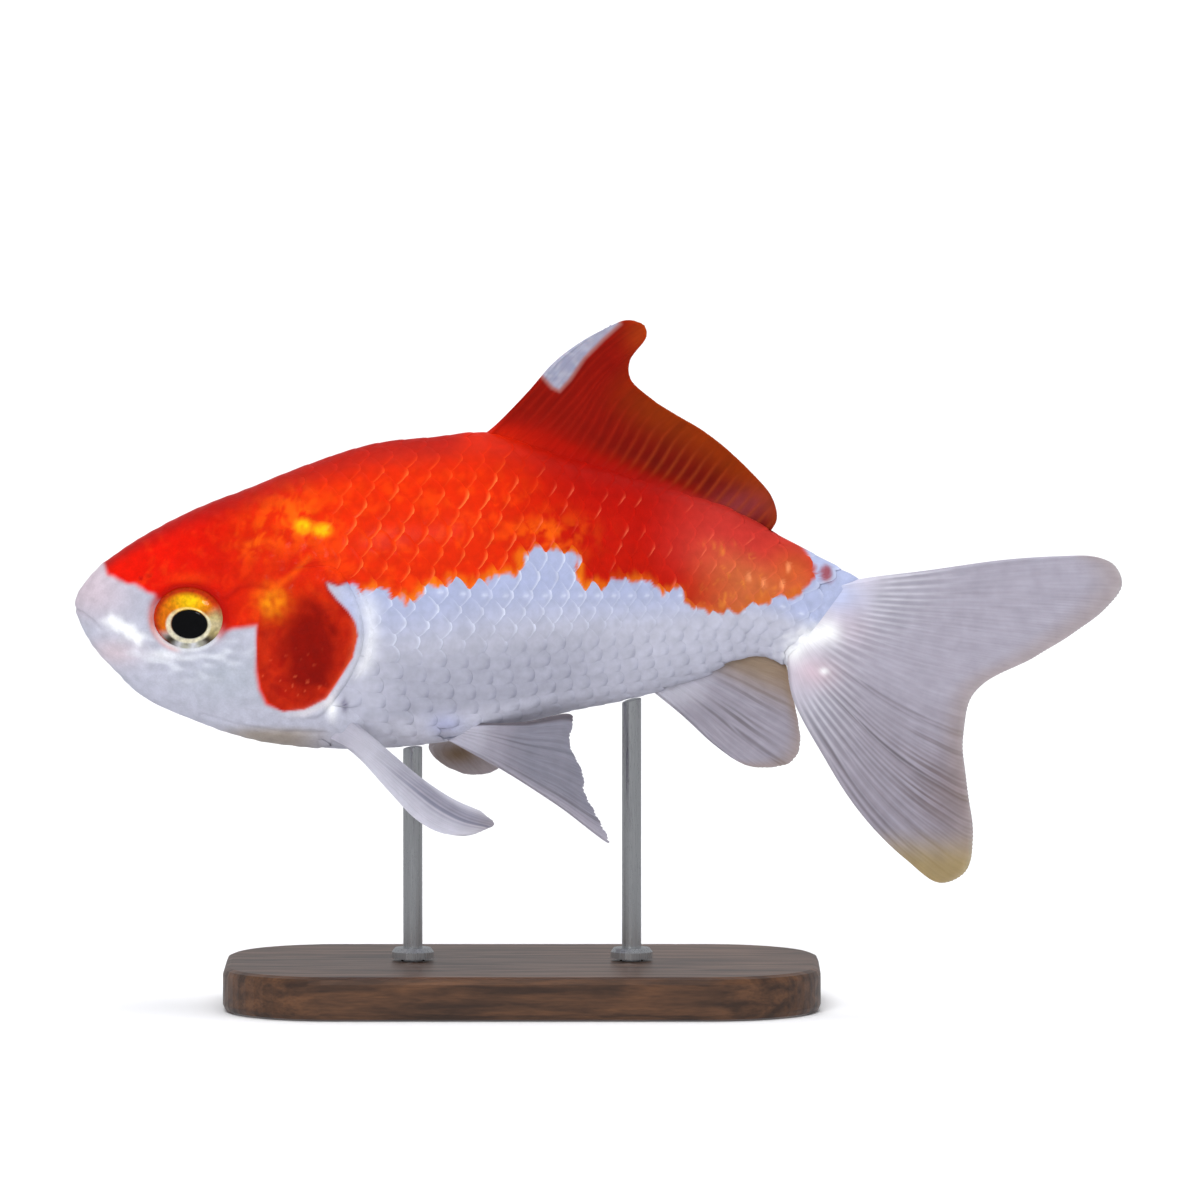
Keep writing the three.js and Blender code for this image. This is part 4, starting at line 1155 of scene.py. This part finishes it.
def pelvic_left_colour(x, z, across, along, ray):
    """Pale along its front edge, darker behind, with a painted shadow line along its upper edge, against the
    belly.
    """
    dark = fade(0.15, 0.6, along) * fade(0.02, 0.3, across)
    return layered(
        pale_colour(across, along, ray * 0.4, 0, 0.3 + 0.7 * dark, 9, 3),
        ((118, 122, 136), dark * 0.55),
        # painted shadow along the upper edge, against the belly
        ((84, 78, 84), fade(0.93, 0.965, across) * 0.85),
    )


def pelvic_right_colour(x, z, across, along, ray):
    """Warm and pale, with an olive middle."""
    return layered(
        pale_colour(across, along, ray, 0, 0.3, 5, 4),
        ((186, 174, 172), 0.4),
        ((112, 84, 44), spot(x, z, (43.6, -18.0), (2.6, 1.9)) * 0.9),
    )


def pectoral_colour(x, z, across, along, ray):
    """Pale, with a dark streaked band along its middle."""
    dark = hump(across - 0.55, 0.24) * fade(0.15, 0.7, along)
    uneven = np.clip(0.6 + 0.5 * streaks(across, along, 9, 6), 0, 1)
    return layered(
        pale_colour(across, along, ray, fade(0.86, 1.0, along) * 0.3, 0.2, 9, 5),
        ((208, 208, 220), 0.6 * fade(0.05, 0.3, along) * (1 - dark)),
        ((92, 96, 116), dark * uneven * 0.75),
    )


FIN_COLOURS = {
    "dorsal_fin": dorsal_colour,
    "caudal_fin": caudal_colour,
    "anal_fin": anal_colour,
    "pelvic_fin_left": pelvic_left_colour,
    "pelvic_fin_right": pelvic_right_colour,
    "pectoral_fin_left": pectoral_colour,
    "pectoral_fin_right": pectoral_colour,
}


def make_fin(name, nodes, material):
    """A thin closed fin with raised, forking rays on both faces."""
    fin = FINS[name]
    columns, rows = fin["steps"]
    across, along = np.meshgrid(np.linspace(0, 1, columns), np.linspace(0, 1, rows), indexing="ij")
    _, flat = fin_sheet(fin, across, along)
    cell = np.linalg.norm(np.gradient(flat, axis=0), axis=2) * columns / fin["rays"]
    ray = ray_pattern(fin, across, along, cell)
    ragged = fin["ragged"] * fade(0.7, 1, along) * (1 - ray) * (0.6 + 0.4 * np.sin(across * 61))
    sheet, flat = fin_sheet(fin, across, along * (1 - ragged))
    normal = unit(np.cross(np.gradient(sheet, axis=0), np.gradient(sheet, axis=1)))
    wave = FIN_WAVE * np.sin(across * 9 + along * 3 + len(name)) * fade(0.2, 0.8, along)
    sheet = sheet + normal * wave[..., None]
    if "root_depth" in fin:
        sheet[..., 1] -= np.sign(sheet[..., 1]) * fin["root_depth"] * fade(0.16, 0, along)

    wide = cell * fin["rays"]
    rounding = fade(-0.05, 0.5, np.minimum(across, 1 - across) * wide) * fade(0, 0.03, 1 - along)
    leading = hump(across * wide - 0.45, 0.4) * (1 - 0.7 * along)
    raised = fin.get("ray_height", 0.06) * (1 - 0.33 * along) * ray
    thick = FIN_THICKNESS - 0.05 * along + raised + 0.16 * leading
    thick = (thick + ROOT_THICKNESS * fade(0.22, 0, along)) * np.maximum(rounding, 0.12)
    if "root_swell" in fin:
        swell, reach = fin["root_swell"]
        thick = thick + swell * fade(reach, -0.1, along) * np.sqrt(1 - (2 * across - 1) ** 2)
    count = columns * rows
    number = np.arange(count).reshape(columns, rows)
    edges = [number[::-1, 0], number[:, -1], number[0], number[-1, ::-1]]
    quads = [
        grid_quads(columns, rows),
        grid_quads(columns, rows, start=count, flip=True),
        *[strip(edge, edge + count) for edge in edges],
    ]
    half = np.stack([across * (0.5 - 2 * MAP_MARGIN) + MAP_MARGIN, on_map(along)], -1)
    colour = FIN_COLOURS[name](flat[..., 0], flat[..., 2], across, along, ray)
    made = piece(
        name + "_rayed",
        np.stack([sheet + normal * thick[..., None], sheet - normal * thick[..., None]]),
        np.concatenate(quads), np.empty((0, 3), int), material,
        np.stack([half, half + (0.5, 0)]),
        tint=np.stack([colour, colour]), ray=np.stack([ray, ray]),
        across=np.stack([across, across]), along=np.stack([along, along]),
    )
    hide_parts(*nodes)
    return made


# ---------------------------------------------------------------- materials

class Finish:
    """A material's node tree, built by short calls."""

    def __init__(self, name):
        self.material = bpy.data.materials.new(name)
        self.material.use_nodes = True
        self.tree = self.material.node_tree
        self.shader = self.tree.nodes["Principled BSDF"]

    def feed(self, socket, value):
        if isinstance(value, bpy.types.NodeSocket):
            self.tree.links.new(value, socket)
        else:
            socket.default_value = value

    def node(self, kind, settings=(), **inputs):
        made = self.tree.nodes.new(kind)
        for key, value in dict(settings).items():
            setattr(made, key, value)
        for key, value in inputs.items():
            self.feed(made.inputs[key.replace("_", " ")], value)
        return made

    def shine(self, **inputs):
        for key, value in inputs.items():
            self.feed(self.shader.inputs[key.replace("_", " ")], value)

    def bump(self, height, depth_mm, strength):
        made = self.node("ShaderNodeBump", Height=height, Strength=strength, Distance=depth_mm * MM)
        self.shine(Normal=made.outputs[0])

    def kept(self, name, output="Fac"):
        """What the mesh keeps at its vertices under a name."""
        return self.node("ShaderNodeAttribute", {"attribute_name": name}).outputs[output]

    def place(self, scale=None):
        """The place on the object itself, stretched by scale if that is given."""
        place = self.node("ShaderNodeTexCoord").outputs["Object"]
        return self.node("ShaderNodeMapping", Vector=place, Scale=scale).outputs[0] if scale else place

    def clouds(self, where, scale, detail, **more):
        made = self.node("ShaderNodeTexNoise", Vector=where, Scale=scale, Detail=detail, **more)
        return made.outputs["Fac"]

    def noise(self, size_mm, detail):
        return self.clouds(self.place(), 1 / (size_mm * MM), detail)

    def ramp(self, value, low, high, from_value=0.0, to_value=1.0):
        return self.node(
            "ShaderNodeMapRange", {"clamp": True},
            Value=value, From_Min=low, From_Max=high, To_Min=from_value, To_Max=to_value,
        ).outputs["Result"]

    def uneven(self, size_mm, detail, lowest, highest):
        return self.ramp(self.noise(size_mm, detail), 0.3, 0.7, lowest, highest)

    def maths(self, operation, first, second=0.0):
        made = self.node("ShaderNodeMath", {"operation": operation})
        self.feed(made.inputs[0], first)
        self.feed(made.inputs[1], second)
        return made.outputs[0]

    def mix(self, share, first, second, how="MIX"):
        made = self.node("ShaderNodeMix", {"data_type": "RGBA", "blend_type": how})
        for number, value in ((0, share), (6, first), (7, second)):
            self.feed(made.inputs[number], value)
        return made.outputs[2]

    def times(self, colour, *greys):
        """A colour multiplied by each of the greys."""
        for grey in greys:
            grey = self.node("ShaderNodeCombineColor", Red=grey, Green=grey, Blue=grey).outputs[0]
            colour = self.mix(1.0, colour, grey, "MULTIPLY")
        return colour


def skin_material():
    """Bare wet-looking skin: pearly, finely grained."""
    made = Finish("skin_flesh")
    made.shine(Base_Color=made.times(
        made.kept("tint", "Color"), made.uneven(1.4, 3, 0.90, 1.08), made.uneven(0.22, 2, 0.95, 1.04),
    ))
    made.shine(Roughness=made.uneven(0.9, 3, 0.40, 0.55))
    made.shine(Specular_IOR_Level=0.06, Coat_Weight=0.05, Coat_Roughness=0.12)
    made.bump(made.noise(0.3, 3), 0.05, 0.55)
    return made.material


RING_STEP = 0.16  # of a scale's growth rings


def scale_material():
    """Thin horny scales with fine growth rings parallel to the edge."""
    made = Finish("scale_coat")
    made.shine(Base_Color=made.times(made.kept("tint", "Color"), made.uneven(1.1, 3, 0.91, 1.08)))
    made.shine(Roughness=made.uneven(0.8, 2, 0.38, 0.52))
    made.shine(Specular_IOR_Level=0.06, Coat_Weight=0.04, Coat_Roughness=0.15)
    rings = made.maths("SINE", made.maths("MULTIPLY", made.kept("edge"), 2 * math.pi / RING_STEP))
    made.bump(made.maths("ADD", made.maths("MULTIPLY", rings, 0.25), made.noise(0.35, 3)), 0.03, 0.5)
    return made.material


def fin_material(name, warmth):
    """Thin membrane between bony rays, with fine cross joints on the rays and streaks along them."""
    made = Finish(name)
    across, along = made.kept("across"), made.kept("along")
    where = made.node("ShaderNodeCombineXYZ", X=made.maths("MULTIPLY", across, 90.0),
                      Y=made.maths("MULTIPLY", along, 5.0)).outputs[0]
    streak = made.clouds(where, 1.0, 3.0)
    made.shine(Base_Color=made.times(
        made.kept("tint", "Color"), made.ramp(streak, 0.3, 0.7, 0.93, 1.05), made.uneven(1.8, 3, 0.93, 1.06),
    ))
    made.shine(Roughness=0.46, Specular_IOR_Level=0.07)
    made.shine(Subsurface_Weight=0.15, Subsurface_Scale=0.0008, Subsurface_Radius=warmth)
    joints = made.maths("SINE", made.maths("MULTIPLY", along, 420.0))
    raised = made.maths("MULTIPLY", joints, made.maths("MULTIPLY", made.kept("ray"), 0.25))
    made.bump(made.maths("ADD", raised, streak), 0.05, 0.35)
    return made.material


def eye_material():
    """A clear glassy cover over a metallic iris with fine fibres."""
    made = Finish("eye_glass")
    made.shine(Base_Color=made.times(made.kept("tint", "Color"), made.uneven(0.5, 4, 0.70, 1.18)))
    made.shine(Roughness=0.32, Metallic=0.25)
    made.shine(Specular_IOR_Level=0.05, Coat_Weight=0.25, Coat_Roughness=0.03)
    return made.material


def wood_material():
    """Dark oiled wood, its grain along the base."""
    made = Finish("stand_wood")
    place = made.place((0.12, 1.0, 1.0))
    bands = made.ramp(made.clouds(place, 650.0, 6.0, Distortion=0.6), 0.35, 0.68)
    pores = made.clouds(place, 4200.0, 3.0)
    colour = made.mix(bands, (*paint(58, 36, 22), 1), (*paint(104, 68, 42), 1))
    made.shine(Base_Color=made.times(colour, made.ramp(pores, 0.3, 0.6, 0.72, 1.06)))
    made.shine(Roughness=made.ramp(bands, 0, 1, 0.42, 0.34), Coat_Weight=0.2, Coat_Roughness=0.25)
    made.bump(pores, 0.05, 0.35)
    return made.material


def steel_material():
    """Brushed stainless steel."""
    made = Finish("stand_steel")
    brushed = made.clouds(made.place((1.0, 1.0, 0.06)), 9000.0, 4.0)
    made.shine(Base_Color=made.mix(brushed, (*paint(176, 178, 180), 1), (*paint(214, 215, 216), 1)))
    made.shine(Metallic=1.0, Roughness=made.ramp(brushed, 0.3, 0.7, 0.24, 0.40))
    made.bump(brushed, 0.01, 0.3)
    return made.material


def floor_material():
    """Matt white paper."""
    made = Finish("studio_paper")
    made.shine(Base_Color=(*paint(251, 251, 252), 1), Roughness=0.9)
    return made.material


# ---------------------------------------------------------------- stage, lights and camera

SWEEP_FRONT = -1.6
SWEEP_BACK = 0.5  # where the floor starts to curve up
SWEEP_RADIUS = 0.6
SWEEP_STEPS = 16
SWEEP_TOP = 2.2
SWEEP_SIDE = 2.2
CAMERA_DISTANCE = 1.4
CAMERA_RISE = math.radians(4)
VIEW_WIDTH = 0.1369  # at the fish
VIEW_CENTRE = (0.00889, 0.0, 0.0463)
SENSOR = 36.0
WORLD_GLOW = 0.44


def make_stage():
    """A pale paper sweep: a floor that curves up into a backdrop."""
    profile = [(SWEEP_FRONT, 0.0), (SWEEP_BACK, 0.0)]
    for k in range(1, SWEEP_STEPS + 1):
        turn = k / SWEEP_STEPS * math.pi / 2
        profile.append((SWEEP_BACK + SWEEP_RADIUS * math.sin(turn), SWEEP_RADIUS * (1 - math.cos(turn))))
    profile.append((SWEEP_BACK + SWEEP_RADIUS, SWEEP_TOP))
    points = [(x, y, z) for y, z in profile for x in (-SWEEP_SIDE, SWEEP_SIDE)]
    mesh = bpy.data.meshes.new("studio_sweep")
    mesh.from_pydata(points, [], [(2 * k, 2 * k + 1, 2 * k + 3, 2 * k + 2) for k in range(len(profile) - 1)])
    mesh.polygons.foreach_set("use_smooth", np.ones(len(mesh.polygons), bool))
    mesh.materials.append(floor_material())
    sweep = add_object("studio_sweep", mesh)
    sweep.visible_glossy = False


def aim(thing, target):
    thing.rotation_euler = (Vector(target) - thing.location).to_track_quat("-Z", "Y").to_euler()


def add_light(name, place, target, size, power, mirrored=False):
    """A round soft light, which shows in reflections only if it is to be mirrored."""
    lamp = bpy.data.lights.new(name, "AREA")
    lamp.shape = "DISK"
    lamp.size = size
    lamp.energy = power
    made = add_object(name, lamp)
    made.visible_glossy = mirrored
    made.location = place
    aim(made, target)


def make_lights():
    """Four soft lights and an even glow."""
    world = bpy.data.worlds.new("studio")
    bpy.context.scene.world = world
    world.use_nodes = True
    glow = world.node_tree.nodes["Background"]
    glow.inputs["Color"].default_value = (0.94, 0.96, 1.0, 1)
    glow.inputs["Strength"].default_value = WORLD_GLOW
    add_light("key", (-0.18, -0.75, 0.50), VIEW_CENTRE, 0.45, 3.1)
    add_light("glint", (-0.10, -0.70, 0.34), VIEW_CENTRE, 0.13, 0.5, mirrored=True)
    add_light("top", (0.10, -0.05, 0.95), VIEW_CENTRE, 0.7, 2.0)
    add_light("backdrop", (0.0, 0.25, 0.9), (0.0, 0.9, 0.1), 0.9, 5.5)


def make_camera():
    """The photo's view: level with the fish, from its left."""
    lens = bpy.data.cameras.new("camera")
    lens.sensor_width = SENSOR
    lens.lens = SENSOR * CAMERA_DISTANCE / VIEW_WIDTH
    lens.clip_start = 0.01
    camera = add_object("camera", lens)
    camera.location = (
        VIEW_CENTRE[0],
        -CAMERA_DISTANCE * math.cos(CAMERA_RISE),
        VIEW_CENTRE[2] + CAMERA_DISTANCE * math.sin(CAMERA_RISE),
    )
    aim(camera, VIEW_CENTRE)
    bpy.context.scene.camera = camera
    bpy.context.scene.view_settings.view_transform = "Standard"


# ---------------------------------------------------------------- the model

def build():
    """Every piece of the fish, and the finish of its stand."""
    skin = make_skin(skin_material())
    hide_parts("head", "gill_cover_left", "gill_cover_right", "trunk", "tail_root")
    pieces = [skin]

    lattice = Lattice()
    scales = lattice_scales(lattice)
    coat = scale_material()
    for side_name, side in (("left", LEFT), ("right", RIGHT)):
        for part, span in COAT_PARTS.items():
            first, last = np.interp(span, lattice.stations, lattice.column)
            chosen = [scale for scale in scales if scale[3] == side and first <= scale[0] < last]
            made = make_coat(f"scales_{side_name}_{part}", chosen, lattice, coat)
            pieces.append(made)

    glass = eye_material()
    for name, side in (("eye_left", LEFT), ("eye_right", RIGHT)):
        eye = make_eye("glass_" + name, side, glass)
        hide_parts(name)
        pieces.append(eye)

    red_fin, pale_fin = fin_material("fin_red", (1.0, 0.3, 0.2)), fin_material("fin_pale", (1.0, 0.8, 0.8))
    for name in FINS:
        nodes = ["caudal_fin_upper", "caudal_fin_lower"] if name == "caudal_fin" else [name]
        fin = make_fin(name, nodes, red_fin if name == "dorsal_fin" else pale_fin)
        pieces.append(fin)

    for made in pieces:
        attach(made, "root")
    wood, steel = wood_material(), steel_material()
    for name, finish in (("stand_base", wood), ("stand_rod_front", steel), ("stand_rod_rear", steel)):
        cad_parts[name].material_slots[0].material = finish


build()
make_stage()
make_lights()
make_camera()
